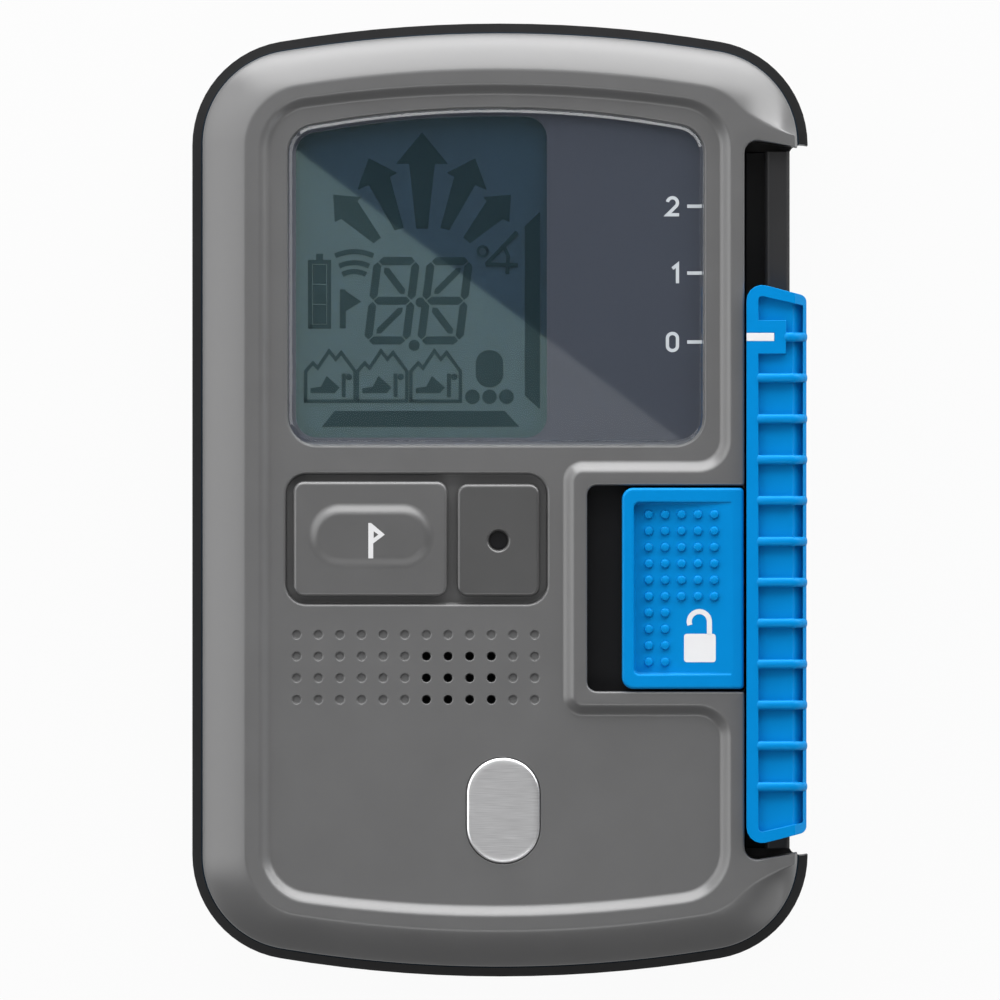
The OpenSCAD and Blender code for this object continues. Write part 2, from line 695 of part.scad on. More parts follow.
// The front shell's edge and its crest, which runs out to the tips beside the slide bay
edge_ring = case_inset(margin);
crest_size = [crest_w2, crest_l2, end_r - margin - rim_end_w, crest_r];
crest_plain = case_ring(crest_size[0], crest_size[1], crest_size[2], crest_size[3]);
edge_corner = case_arcs(hw - margin, hl - margin, end_r - margin, corner_r - margin)[0];
crest_corner = case_arcs(crest_size[0], crest_size[1], crest_size[2], crest_size[3])[0];
function arc_point(arc, s) =
    let (a = mix(arc[2], arc[3], s)) arc[0] + arc[1] * [cos(a), sin(a)];
function bezier(p, t) =
    p[0] * pow(1 - t, 3) + 3 * p[1] * t * pow(1 - t, 2) + 3 * p[2] * t * t * (1 - t) + p[3] * pow(t, 3);
horn_edge = 0.35;
horn_from = 0.06;
horn_to = 0.52;
horn_reach = [-2.4, 0.96];
horn_lead = 2.2;
horn_tip = arc_point(edge_corner, horn_from) - [horn_edge, 0];
horn_root = arc_point(crest_corner, horn_to);
horn_turn = mix(crest_corner[2], crest_corner[3], horn_to);
horn_curve = [horn_tip, horn_tip + horn_reach, horn_root + horn_lead * [sin(horn_turn), -cos(horn_turn)], horn_root];
function crest_point(k) =
    let (s = k / arc_steps)
    s >= horn_to ? crest_plain[k] : s <= horn_from ? edge_ring[k] - [horn_edge, 0]
        : bezier(horn_curve, (s - horn_from) / (horn_to - horn_from));
ring_last = len(edge_ring) - 1;
crest_ring = [for (i = [0:ring_last])
    let (k = min(i, ring_last - i), p = crest_point(k)) i == k ? p : [p.x, -p.y]];
rim_turn = 65;
rim_h = front_h - rim_edge_h;

module case_dome() {
    rim = [for (a = [0:rim_turn / 5:rim_turn])
        let (t = (1 - cos(a)) / (1 - cos(rim_turn)))
        lifted([for (i = [0:ring_last]) mix(edge_ring[i], crest_ring[i], t)],
            rear_h + rim_edge_h + rim_h * sin(a) / sin(rim_turn))];
    skin(concat([lifted(edge_ring, rear_h)], rim));
}

// The hollow of a shell, which ends at the wall of the slide bay
module hollow(inset, z0, z1, x1) {
    translate([0, 0, z0]) linear_extrude(z1 - z0) intersection() {
        polygon(case_inset(inset));
        translate([-case_w, -case_l]) square([case_w + x1, 2 * case_l]);
    }
}

// The area inside the seal's line, which runs beside the slide bay and out into both horns
module seal_area(out) {
    difference() {
        intersection() {
            polygon(case_inset(seal_in - out));
            translate([-case_w, -case_l]) square([case_w + seal_x1 + out, 2 * case_l]);
        }
        polygon(rounded(bay_corners, bay_wall / 2 - out));
    }
}

module seal_path(wide, z0, z1) {
    translate([0, 0, z0]) linear_extrude(z1 - z0) difference() {
        seal_area(wide);
        seal_area(-wide);
    }
}

module panel_cut() {
    h = panel_depth;
    prism(rounded(panel_corners), panel_z, crest_z + cut);
    band(panel_corners, [[-0.3, panel_z], [0, panel_z], [slope_w * 0.3, panel_z + h * 0.1],
        [slope_w * 0.7, panel_z + h * 0.9], [slope_w, crest_z], [slope_w, crest_z + cut],
        [-0.3, crest_z + cut]]);
}

module speaker_holes() {
    for (i = [0:grid_nx - 1], j = [0:grid_ny - 1])
        let (open = i >= sound_cols[0] && i <= sound_cols[1] && j >= sound_row)
            peg([grid_x + i * grid_pitch, grid_y - j * grid_pitch], grid_r,
                open ? roof_z - cut : panel_z - dimple_depth, panel_z + cut);
}

module lock_openings() {
    slab(notch_x0, bay_x + cut, lock_y0 - lock_side, lock_y1 + lock_side, lock_floor, crest_z + cut);
    slab(lock_stem_x[0] - lock_travel - lock_side, lock_stem_x[1] + lock_side, lock_mid - lock_stem_y - lock_side,
        lock_mid + lock_stem_y + lock_side, pad_z0 - cut, lock_floor + cut);
}

// The display opening: it keeps inside the window's ledge and ends at the printed field
module sight_area() {
    offset(r = sight_r) offset(delta = -sight_r) intersection() {
        polygon(rounded(win_corners, -win_ledge, arc_steps));
        translate([win_x0, win_y0]) square([sight_x1 - win_x0, win_h]);
    }
}

module front_shell() {
    color(body_grey) difference() {
        union() {
            difference() {
                case_dome();
                hollow(front_in, rear_h - cut, roof_z, inner_x);
            }
            for (s = screws) peg(s, boss_r, rear_h, roof_z + cut / 2);
            for (p = posts) peg(p, post_r, board_top, roof_z + cut / 2);
            slab(pad_x0, inner_x + cut / 2, lock_y0 - 2, lock_y1 + 2, pad_z0, roof_z + cut / 2);
            slab(stop_x0, stop_x0 + 1.4, lock_mid - 3, lock_mid + 3, clip_z0, pad_z0 + cut / 2);
        }
        panel_cut();
        prism(rounded(win_corners, fit), lens_z0, crest_z + cut);
        translate([0, 0, roof_z - cut]) linear_extrude(lens_z0 - roof_z + 2 * cut) sight_area();
        prism(rounded(key_corners), key_floor, crest_z);
        peg(btn_at, stem_r + run, roof_z - cut, key_floor + cut);
        peg(pipe_at, pipe_r + fit, roof_z - cut, key_floor + cut);
        speaker_holes();
        prism(rounded(inlay_corners, fit), panel_z - inlay_depth, crest_z);
        lock_openings();
        prism(rounded(bay_corners), rear_h - cut, crest_z + cut);
        for (s = screws) {
            peg(s, insert_r + fit / 4, rear_h - cut, insert_z0 + insert_l);
            peg(s, screw_r + fit, rear_h, insert_z0 + insert_l + 2);
        }
        for (p = posts) peg(p, board_screw_r + fit / 4, board_top - cut, board_top + 4.5);
    }
}

module rear_body() {
    rise = [for (a = [0:18:90]) [back_round * (1 - sin(a)), back_rise * (1 - cos(a))]];
    skin(concat([for (q = rise) lifted(case_inset(q[0]), q[1])], [lifted(case_inset(0), rear_h)]));
}

module cradles() {
    z1 = rod_z - rod_r / 2;
    for (s = [-1, 1]) {
        y = long_y + s * (rod_long / 2 - cradle_at);
        slab(long_x - rod_r, long_x + rod_r, y - cradle_w / 2, y + cradle_w / 2, back_wall - cut / 2, z1);
        x = s * (rod_cross / 2 - cradle_at);
        slab(x - cradle_w / 2, x + cradle_w / 2, cross_y - rod_r, cross_y + rod_r, back_wall - cut / 2, z1);
    }
}

module rear_openings() {
    prism(rounded([for (c = bay_corners) [max(c.x, rail_x1), c.y, c.z]]), -cut, rear_h + cut);
    prism(rounded(door_corners, fit * 3), -cut, ledge_z0);
    prism(rounded(tray_corners, 0, 2), -cut, back_wall + cut);
    seal_path(0.55, rear_h - 0.9, rear_h + cut);
    for (s = screws) {
        peg(s, screw_head_r + 0.2, -cut, head_seat + screw_head_h);
        peg(s, screw_r + fit, 0, rear_h + cut);
    }
    for (y = door_screw_y) {
        peg([0, y], insert_r + fit / 4, 0, ledge_z0 + insert_l + 0.4);
        peg([0, y], screw_r + run, 0, ledge_z0 + insert_l + 3);
    }
    rod_y(long_y - rod_long / 2, long_y + rod_long / 2, long_x, rod_z, rod_r + fit / 4);
    rod_x(-rod_cross / 2, rod_cross / 2, cross_y, rod_z, rod_r + fit / 4);
    slab(-notch_w / 2, notch_w / 2, notch_y, hl + cut, -cut, notch_h);
    rod_x(-notch_w / 2 - 3, notch_w / 2 + 3, bar_at[0], bar_at[1], bar_r + fit / 4);
}

module rear_shell() {
    color(body_black) difference() {
        union() {
            difference() {
                rear_body();
                hollow(rear_in, back_wall, rear_h + cut, inner_x);
                slab(inner_x - cut, rail_x1 - case_wall, -bay_y + 4, bay_y - 4, back_wall, rear_h - case_wall);
            }
            for (s = screws) peg(s, rear_boss_r, back_wall - cut / 2, rear_h);
            for (y = door_screw_y) peg([0, y], door_boss_r, ledge_z0, ledge_z0 + insert_l + 4);
            cradles();
            slab(-notch_w / 2 - 4, notch_w / 2 + 4, notch_y - notch_wall, hl - rear_in + cut, cut,
                notch_h + notch_wall);
        }
        rear_openings();
    }
}

module case_seal() {
    color("#1b3a52") seal_path(0.45, rear_h - 0.9, rear_h - 0.05);
}

module display_window() {
    color("#3d434d", 0.8) plate(win_corners,
        [[-fit, lens_z0], [-fit, lens_z1 - lens_bevel], [-fit - lens_bevel * 0.3, lens_z1 - lens_bevel * 0.3],
         [-fit - lens_bevel, lens_z1]], arc_steps);
}

module lcd_panel() {
    color("#506262") prism(rounded(lcd_corners), lcd_z0, roof_z);
}

module light_guide() {
    color("whitesmoke") prism(rounded(lcd_corners), guide_z0, lcd_z0);
}

module lcd_frame() {
    color("white") difference() {
        prism(rounded(lcd_corners, fit + lcd_wall), board_top, roof_z - 0.3);
        prism(rounded(lcd_corners, fit), guide_z0, roof_z);
        prism(rounded(lcd_corners, -2), board_top - cut, guide_z0 + cut);
        prism(rounded(lcd_corners, fit), board_top - cut, guide_z0 - frame_floor);
    }
}

module mark_button() {
    pad = [btn_at.x - pad_w / 2, btn_at.x + pad_w / 2, btn_at.y - pad_h / 2 + 0.4, btn_at.y + pad_h / 2 + 0.4];
    pad_corners = box_corners(pad[0], pad[1], pad[2], pad[3], pad_h / 2 - least_r);
    color(body_grey) union() {
        plate(btn_corners, [[0, btn_z0], [0, btn_z1 - 0.6], [-0.18, btn_z1 - 0.18], [-0.6, btn_z1]]);
        plate(pad_corners, [[0, btn_z1 - 0.2], [0, btn_z1], [-pad_slope * 0.3, btn_z1 + pad_rise * 0.35],
            [-pad_slope * 0.7, btn_z1 + pad_rise * 0.9], [-pad_slope * 1.3, btn_z1 + pad_rise]]);
        peg(btn_at, stem_r, plunger_z1, btn_z0 + 0.3);
    }
}

module switch_plunger() {
    color("ivory") union() {
        peg(btn_at, 1.3, board_top + btn_travel + 0.4, plunger_z1);
        peg(btn_at, stem_r, plunger_z1 - 0.6, plunger_z1);
    }
}

module mark_switch() {
    color("#2b2d30") difference() {
        slab(btn_at.x - 3.1, btn_at.x + 3.1, btn_at.y - 3.1, btn_at.y + 3.1, board_top, board_top + switch_h - btn_travel);
        peg(btn_at, 1.3 + run, board_top + 0.2, board_top + switch_h);
    }
}

module light_plate() {
    color(body_grey) difference() {
        plate(plate_corners, [[0, key_floor], [0, btn_z1 - 0.6], [-0.18, btn_z1 - 0.18], [-0.6, btn_z1]]);
        peg(pipe_at, pipe_r + fit, key_floor - cut, btn_z1 + cut);
        translate([pipe_at.x, pipe_at.y, btn_z1 - 0.6])
            cylinder(h = 0.6 + least_r, r1 = pipe_r + fit, r2 = pipe_dish_r);
    }
}

module light_pipe() {
    color("#30343a") union() {
        peg(pipe_at, pipe_r, board_top, btn_z1 - 0.7);
        peg(pipe_at, pipe_r + 0.8, board_top, board_top + 2);
    }
}

module key_membrane() {
    color("dimgray") difference() {
        prism(rounded(key_corners, -2), roof_z - membrane_t, roof_z);
        peg(btn_at, stem_r + run, roof_z - cut, roof_z + cut);
        peg(pipe_at, pipe_r + fit, roof_z - cut, roof_z + cut);
    }
}

module speaker_mesh() {
    color("black") peg(buzzer_at, buzzer_r - 1, roof_z - mesh_t, roof_z);
}

module buzzer() {
    color("#17181a") difference() {
        union() {
            peg(buzzer_at, buzzer_r, board_top, roof_z - mesh_t - 1);
            peg(buzzer_at, buzzer_r - 1, board_top, roof_z - mesh_t);
        }
        peg(buzzer_at, buzzer_r - 2.2, roof_z - mesh_t - 2, roof_z);
    }
}

module oval_inlay() {
    z1 = panel_z + 0.25;
    color("silver") plate(inlay_corners,
        [[0, panel_z - inlay_depth], [0, panel_z], [-0.25, z1 - 0.06], [-0.8, z1]], arc_steps);
}

module lock_dish() {
    floor_z = lock_z1 - dish_depth;
    run_y([[dish_x0, lock_z1 + cut], [dish_x0, floor_z + 0.4], [dish_x0 + 0.15, floor_z + 0.12],
        [dish_x0 + 0.5, floor_z], [dish_x1 + 0.1, lock_z1 - 0.1], [dish_x1 + 0.6, lock_z1 + cut]],
        dish_y0, dish_y1);
}

// Height of the dish floor at a place across the lock button
function dish_z(x) = mix(lock_z1 - dish_depth, lock_z1 - 0.1, (x - dish_x0 - 0.5) / (dish_x1 - dish_x0 - 0.4));

module lock_button() {
    wide = 5;
    color(signal_blue) union() {
        difference() {
            union() {
                plate([[lock_x0, lock_y0, 1.4], [lock_x1, lock_y0, 0.4], [lock_x1, lock_y1, 0.4],
                    [lock_x0, lock_y1, 1.4]], [[0, lock_z0], [0, lock_z1 - 0.35], [-0.1, lock_z1 - 0.1],
                    [-0.35, lock_z1]]);
                slab(lock_stem_x[0], lock_stem_x[1], lock_mid - lock_stem_y, lock_mid + lock_stem_y, clip_z1,
                    lock_z0 + 0.3);
            }
            lock_dish();
        }
        for (j = [0:9], i = [0:j < 6 ? wide - 1 : 1])
            let (x = dot_x + i * dot_pitch)
                peg([x, dot_y - j * dot_pitch], dot_r, dish_z(x) - 0.3, dish_z(x) + dot_h);
    }
}

module lock_clip() {
    color("#3a3c40") slab(lock_stem_x[0] - clip_lap, lock_stem_x[1] + clip_lap, lock_mid - lock_stem_y - clip_lap,
        lock_mid + lock_stem_y + clip_lap, clip_z0, clip_z1);
}

lock_path = coil_path(lock_coil_r, lock_coil_r, spring_l - lock_wire - 0.2, lock_curls);
module lock_spring() {
    echo(lock_spring_gap = coil_gap(lock_path, lock_wire));
    color("lightsteelblue") translate([spring_x1 - spring_l + lock_wire / 2 + 0.1, lock_mid, spring_z])
        rotate([0, 90, 0]) coil(lock_path, lock_wire);
}

module slide_rail() {
    y1 = bay_y - bay_slope - rail_end;
    color("#141518") union() {
        slab(foot_x0, rail_x1, -y1, y1, rear_h, foot_z1);
        slab(stem_x0, rail_x1, -y1, y1, foot_z1 - least_r, head_z0 + least_r);
        run_y([[rail_x0, head_z0], [rail_x1, head_z0], [rail_x1, rail_z1 - 0.4], [rail_x1 - 0.4, rail_z1],
            [rail_x0 + 0.4, rail_z1], [rail_x0, rail_z1 - 0.4]], -y1, y1);
    }
}

// The slider's section: its upper face, chamfered outer edge and side, drawn in X and Z
function slide_section(z1, chamfer) = [[slide_x0, slide_z0], [slide_x1 - slide_wall, slide_z0],
    [slide_x1 - slide_wall, skirt_z], [slide_x1, skirt_z], [slide_x1, z1 - chamfer],
    [slide_x1 - chamfer * 0.9, z1], [slide_x0, z1]];

module slide_part(z1, chamfer, y0, y1) {
    intersection() {
        run_y(slide_section(z1, chamfer), y0, y1);
        prism(rounded(slide_corners), skirt_z - cut, slide_z1 + cut);
    }
}

module mode_slider() {
    pocket_corners = [for (c = slide_corners) [c.x > slide_x0 ? c.x + cut : c.x, c.y, c.z]];
    color(signal_blue) difference() {
        union() {
            slide_part(slide_z1 - pocket_depth, slide_chamfer + 0.3, slide_y0, slide_y1);
            difference() {
                slide_part(slide_z1, slide_chamfer, slide_y0, slide_y1);
                prism(rounded(pocket_corners, -slide_frame), slide_z0 - cut, slide_z1 + cut);
            }
            for (i = [0:rib_n - 1])
                slide_part(slide_z1, slide_chamfer, rib_y + i * rib_pitch - rib_t / 2,
                    rib_y + i * rib_pitch + rib_t / 2);
            slab(slide_x0 + slide_frame - cut / 2, pointer_x1, pointer_y - pointer_h / 2, pointer_y + pointer_h / 2,
                slide_z0 + cut, slide_z1);
        }
        slab(slide_x0 - cut, line_x1 + fit / 4, pointer_y - pointer_t / 2 - fit / 4,
            pointer_y + pointer_t / 2 + fit / 4, slide_z1 - line_h, slide_z1 + cut);
    }
}

module slider_carriage() {
    color("#1c1d20") difference() {
        union() {
            slab(leg_x0, leg_x1, leg_y0, leg_y1, leg_z0, slide_z0);
            slab(leg_x1 - least_r, hook_x1, leg_y0, leg_y1, hook_z1 - hook_h, hook_z1);
        }
        rod_x(leg_x0 - cut, leg_x0 + magnet_t, magnet_at[0], magnet_at[1], magnet_r + fit / 4);
    }
}

module slider_magnet() {
    color("silver") rod_x(leg_x0, leg_x0 + magnet_t, magnet_at[0], magnet_at[1], magnet_r);
}

module slider_pointer() {
    color("white") slab(slide_x0, line_x1, pointer_y - pointer_t / 2, pointer_y + pointer_t / 2,
        slide_z1 - line_h, slide_z1);
}

module detent_spring() {
    x = (leg_x0 + leg_x1) / 2;
    top = foot_z1 + leaf_t + leaf_bump;
    color("lightsteelblue") translate([x - leaf_w / 2, 0, 0]) rotate([90, 0, 90]) linear_extrude(leaf_w) polygon(
        [[leaf_y, foot_z1], [leaf_y + leaf_l * 0.4, foot_z1], [leaf_y + leaf_l * 0.5, top - leaf_t],
         [leaf_y + leaf_l * 0.6, foot_z1], [leaf_y + leaf_l, foot_z1], [leaf_y + leaf_l, foot_z1 + leaf_t],
         [leaf_y + leaf_l * 0.62, foot_z1 + leaf_t], [leaf_y + leaf_l * 0.52, top], [leaf_y + leaf_l * 0.48, top],
         [leaf_y + leaf_l * 0.38, foot_z1 + leaf_t], [leaf_y, foot_z1 + leaf_t]]);
}

module main_board() {
    color("#1f5a3a") difference() {
        union() {
            slab(board_x0, board_x1, board_y0, board_y1, board_z, board_top);
            slab(board_tab.x, -board_tab.x, board_y1 - cut, board_tab.y, board_z, board_top);
        }
        for (p = posts) peg(p, board_screw_r + 0.15, board_z - cut, board_top + cut);
    }
}

module radio_shield() {
    t = shield_wall;
    y1 = shield_y0 + shield_l;
    color("silver") difference() {
        slab(shield_x1 - shield_w, shield_x1, shield_y0, y1, board_top, board_top + shield_h);
        slab(shield_x1 - shield_w + t, shield_x1 - t, shield_y0 + t, y1 - t, board_top - cut,
            board_top + shield_h - t);
    }
}

module board_screws() {
    color("gray") for (p = posts) difference() {
        union() {
            peg(p, board_head_r, board_z - 1.2, board_z);
            peg(p, board_screw_r, board_z - 0.6, board_top + board_screw_l);
        }
        slab(p.x - 1, p.x + 1, p.y - 0.2, p.y + 0.2, board_z - 1.2 - cut, board_z - 0.7);
    }
}

module long_antenna_rod() {
    color("#3b3b3f") rod_y(long_y - rod_long / 2, long_y + rod_long / 2, long_x, rod_z, rod_r);
}

module winding_y(y0, y1, x, z) {
    difference() {
        rod_y(y0, y1, x, z, rod_r + coil_t);
        rod_y(y0 - cut, y1 + cut, x, z, rod_r + 0.02);
    }
}

module long_antenna_coil() {
    color("#b0713a") winding_y(long_coil_y, long_coil_y + coil_l, long_x, rod_z);
}

module cross_antenna_rod() {
    color("#3b3b3f") rod_x(-rod_cross / 2, rod_cross / 2, cross_y, rod_z, rod_r);
}

module cross_antenna_coil() {
    color("#b0713a") translate([0, cross_y, rod_z]) rotate([0, 0, -90]) winding_y(-coil_l / 2, coil_l / 2, 0, 0);
}

module upright_antenna_core() {
    color("#3b3b3f") union() {
        peg(upright_at, upright_r, board_top, board_top + 0.8);
        peg(upright_at, upright_r - 2.2, board_top, board_top + upright_h);
    }
}

module upright_antenna_coil() {
    color("#b0713a") difference() {
        peg(upright_at, upright_r - 0.3, board_top + 0.8, board_top + upright_h);
        peg(upright_at, upright_r - 2.18, board_top, board_top + upright_h + cut);
    }
}

module battery_tray() {
    color("#2a2b2e") difference() {
        prism(rounded(tray_corners, tray_wall), back_wall, tray_z1);
        for (y = cell_ys) {
            rod_x(-tray_in_x, tray_in_x, y, cell_z, cell_r + cell_gap);
            slab(-tray_in_x, tray_in_x, y - cell_r - cell_gap, y + cell_r + cell_gap, back_wall - cut, cell_z);
        }
    }
}

// One cell: its can, and the cap at the end that sign points to
module cell(i, sign) {
    color("#c9a227") union() {
        rod_x(sign > 0 ? -cell_l / 2 : -cell_l / 2 + nub_l, sign > 0 ? cell_l / 2 - nub_l : cell_l / 2,
            cell_ys[i], cell_z, cell_r);
        rod_x(-cell_l / 2 + (sign > 0 ? nub_l : 0), cell_l / 2 - (sign > 0 ? 0 : nub_l), cell_ys[i], cell_z, nub_r);
    }
}

module battery_1() { cell(0, 1); }
module battery_2() { cell(1, -1); }
module battery_3() { cell(2, 1); }

contact_path = coil_path(contact_coil_r[0], contact_coil_r[1], contact_room - contact_wire - 0.15, 2);
module contact_springs() {
    echo(contact_spring_gap = coil_gap(contact_path, contact_wire));
    color("lightsteelblue") for (i = [0:2]) translate([(i == 1 ? 1 : -1) * tray_in_x, cell_ys[i], cell_z])
        rotate([0, i == 1 ? -90 : 90, 0]) translate([0, 0, contact_wire / 2 + least_r]) coil(contact_path, contact_wire);
}

module contact_plates() {
    color("silver") for (i = [0:2]) translate([(i == 1 ? -1 : 1) * tray_in_x, cell_ys[i], cell_z])
        rotate([0, i == 1 ? 90 : -90, 0]) union() {
            cylinder(h = 0.4, r = contact_r);
            cylinder(h = contact_room - 0.1, r = contact_nub_r);
        }
}

module battery_door() {
    color(body_black) difference() {
        union() {
            plate(door_corners, [[-0.4, door_z0], [0, door_z0 + 0.4], [0, door_z1]]);
            difference() {
                prism(rounded(tray_corners, -0.4), door_z1 - least_r, door_z1 + 0.35);
                prism(rounded(tray_corners, -1.4), door_z1 - cut, door_z1 + cut);
            }
        }
        for (y = door_screw_y) {
            peg([0, y], screw_r + fit * 2, -cut, door_z1 + cut);
            peg([0, y], screw_head_r + 0.3, -cut, door_z0 + 0.9);
        }
    }
}

module door_seal() {
    color("#1b3a52") difference() {
        prism(rounded(tray_corners, door_seal_at[1]), door_z1, door_z1 + door_seal_h);
        prism(rounded(tray_corners, door_seal_at[0]), door_z1 - cut, door_z1 + door_seal_h + cut);
    }
}

// A captive screw with a coin slot
module door_screw(y) {
    color("silver") difference() {
        union() {
            peg([0, y], screw_head_r, door_z0 + 0.1, door_z0 + 0.9);
            peg([0, y], screw_r, door_z0 + 0.5, door_z0 + 0.9 + door_screw_l);
        }
        slab(-screw_head_r - cut, screw_head_r + cut, y - 0.35, y + 0.35, -cut, door_z0 + 0.6);
    }
}

module door_screw_upper() { door_screw(door_screw_y[1]); }
module door_screw_lower() { door_screw(door_screw_y[0]); }

// A threaded insert, drawn as a plain brass tube
module insert(at, z0) {
    difference() {
        peg(at, insert_r, z0, z0 + insert_l);
        peg(at, screw_r + fit / 4, z0 - cut, z0 + insert_l + cut);
    }
}

module door_inserts() {
    color("goldenrod") for (y = door_screw_y) insert([0, y], ledge_z0 + 0.4);
}

module case_inserts() {
    color("goldenrod") for (s = screws) insert(s, insert_z0);
}

module case_screws() {
    z0 = head_seat;
    color("gray") for (s = screws) difference() {
        union() {
            peg(s, screw_head_r, z0, z0 + screw_head_h);
            peg(s, screw_r, z0 + 0.5, insert_z0 + insert_l);
        }
        for (a = [0, 90]) translate([s.x, s.y, z0]) rotate([0, 0, a])
            translate([-1.3, -0.3, -cut]) cube([2.6, 0.6, 0.7 + cut]);
    }
}

module lanyard_bar() {
    color("silver") rod_x(-notch_w / 2 - 3, notch_w / 2 + 3, bar_at[0], bar_at[1], bar_r);
}

front_shell();
rear_shell();
case_seal();
display_window();
lcd_panel();
light_guide();
lcd_frame();
mark_button();
switch_plunger();
mark_switch();
light_plate();
light_pipe();
key_membrane();
speaker_mesh();
buzzer();
oval_inlay();
lock_button();
lock_clip();
lock_spring();
slide_rail();
mode_slider();
slider_carriage();
slider_magnet();
slider_pointer();
detent_spring();
main_board();
radio_shield();
board_screws();
long_antenna_rod();
long_antenna_coil();
cross_antenna_rod();
cross_antenna_coil();
upright_antenna_core();
upright_antenna_coil();
battery_tray();
battery_1();
battery_2();
battery_3();
contact_springs();
contact_plates();
battery_door();
door_seal();
door_screw_upper();
door_screw_lower();
door_inserts();
case_screws();
case_inserts();
lanyard_bar();
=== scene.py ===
"""Looks of a hand-held avalanche transceiver that lies on its back, seen from straight above.

Lengths are in millimetres in the shape functions and become metres when a mesh is made.
"""

import math

import bmesh
import bpy
import numpy as np
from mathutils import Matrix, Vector


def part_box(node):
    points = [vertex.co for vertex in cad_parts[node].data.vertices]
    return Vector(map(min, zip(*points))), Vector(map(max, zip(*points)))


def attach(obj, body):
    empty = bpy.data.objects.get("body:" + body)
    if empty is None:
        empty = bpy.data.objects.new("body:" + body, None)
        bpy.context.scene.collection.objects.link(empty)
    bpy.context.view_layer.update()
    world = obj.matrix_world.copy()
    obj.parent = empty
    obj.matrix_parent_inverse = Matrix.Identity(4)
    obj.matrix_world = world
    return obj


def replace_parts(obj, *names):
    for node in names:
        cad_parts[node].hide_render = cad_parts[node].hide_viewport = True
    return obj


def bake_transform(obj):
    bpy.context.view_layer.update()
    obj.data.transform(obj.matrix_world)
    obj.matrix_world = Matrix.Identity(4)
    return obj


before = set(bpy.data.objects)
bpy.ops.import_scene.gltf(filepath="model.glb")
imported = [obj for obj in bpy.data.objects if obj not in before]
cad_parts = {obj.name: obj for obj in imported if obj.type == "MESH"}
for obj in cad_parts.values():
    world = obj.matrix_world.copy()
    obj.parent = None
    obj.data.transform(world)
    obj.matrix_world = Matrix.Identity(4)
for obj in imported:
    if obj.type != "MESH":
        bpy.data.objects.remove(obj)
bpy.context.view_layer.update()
scene = bpy.context.scene
MM = 0.001


def node_box(node):
    """Lowest and highest corner of a CAD node, in millimetres."""
    low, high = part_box(node)
    return np.array(low) / MM, np.array(high) / MM


# Sizes read from the frame
_, rear_high = node_box("rear_shell")
_, front_high = node_box("front_shell")
lens_low, lens_high = node_box("display_window")
lcd_low, lcd_high = node_box("lcd_panel")
mark_low, mark_high = node_box("mark_button")
plate_low, plate_high = node_box("light_plate")
inlay_low, inlay_high = node_box("oval_inlay")
lock_low, lock_high = node_box("lock_button")
slide_low, slide_high = node_box("mode_slider")
pointer_low, pointer_high = node_box("slider_pointer")
pipe_low, pipe_high = node_box("light_pipe")

HALF_W = rear_high[0]
HALF_L = rear_high[1]
SEAM_Z = rear_high[2]
CREST_Z = front_high[2]
MARGIN = HALF_W - front_high[0]

# Case outline and front relief
END_R = 165.0
CORNER_R = 13.0
SHELL_WALL = 0.25
RIM_W = 5.3
RIM_END_W = 4.5
RIM_EDGE_R = 0.7
RIM_LEAN = (math.radians(46), math.radians(22))
CREST_R = 7.5
CREST_ROUND = 1.2
CREST_TURNS = 5
BAND_W = 1.6
SLOPE_W = 1.6
PANEL_DEPTH = 1.0
PANEL_R = 5.0
JOG_R = 2.6
PANEL_Z = CREST_Z - PANEL_DEPTH
FLAT = 0.04

# Slide bay and lock recess
BAY_GAP = 0.1
BAY_X = lock_high[0] + BAY_GAP
BAY_D = HALF_W - BAY_X
BAY_Y = 44.55
BAY_SLOPE = 1.2
BAY_R = 1.5
BAY_EDGE_R = 0.3
BAY_BORDER = 3.15
BAY_STEPS = 6
LOCK_SIDE = 0.3
LOCK_TRAVEL = 4.0
LOCK_BORDER = 3.1
NOTCH_X = lock_low[0] - LOCK_TRAVEL - LOCK_SIDE
NOTCH_Y = (lock_low[1] - LOCK_SIDE, lock_high[1] + LOCK_SIDE)
NOTCH_DEPTH = 3.4
NOTCH_FLOOR = CREST_Z - NOTCH_DEPTH
NOTCH_R = 1.2
NOTCH_MOUTH_R = 0.35
BED_LAP = 0.05
BED_R = 0.4
HORN_EDGE = 0.35
HORN_FADE = 3.0
HORN_START = 2.6 * np.array([-0.93, 0.37])
HORN_END = 2.2

# Window, keys and speaker holes
FIT = 0.1
FOOT_R = 0.15
WINDOW_R = 3.6
WINDOW_BOW_R = 125.0
WINDOW_SEAT_R = 0.25
LEDGE = 1.0
LCD_LAP = 0.7
SIGHT_R = 2.6
KEY_RIM = 0.9
KEY_R = 2.5
KEY_SEAT_R = 0.4
KEY_FLOOR = plate_low[2]
INLAY_SEAT_R = 0.15
INLAY_FOOT_R = 0.05
OVAL_FLAT = 0.03
OVAL_STEPS = 24
GRID_START = 1.3
GRID_GAP = 3.8
GRID_PITCH = 2.67
GRID_COLUMNS = 12
GRID_ROWS = 4
GRID_HOLE_R = 0.53
GRID_HOLE_STEPS = 28
GRID_ROUND = 0.12
GRID_MIDDLE = 0.035
GRID_BLIND_DEPTH = 0.34
GRID_OPEN_DEPTH = 2.4
GRID_OPEN_COLUMNS = (6, 9)
GRID_OPEN_ROW = 1

# Prints
PRINT_Z = lens_low[2] + 0.14
PRINT_LIFT = 0.03
MARK_STEP = 0.002


# Outlines


LEAST_R = 0.02
BOW_INSIDE = 0.5


def unit(v):
    """The vector over its own length."""
    return v / np.hypot(*v)


def as_points(numbers):
    """Complex numbers as rows of x and y."""
    return np.column_stack([numbers.real, numbers.imag])


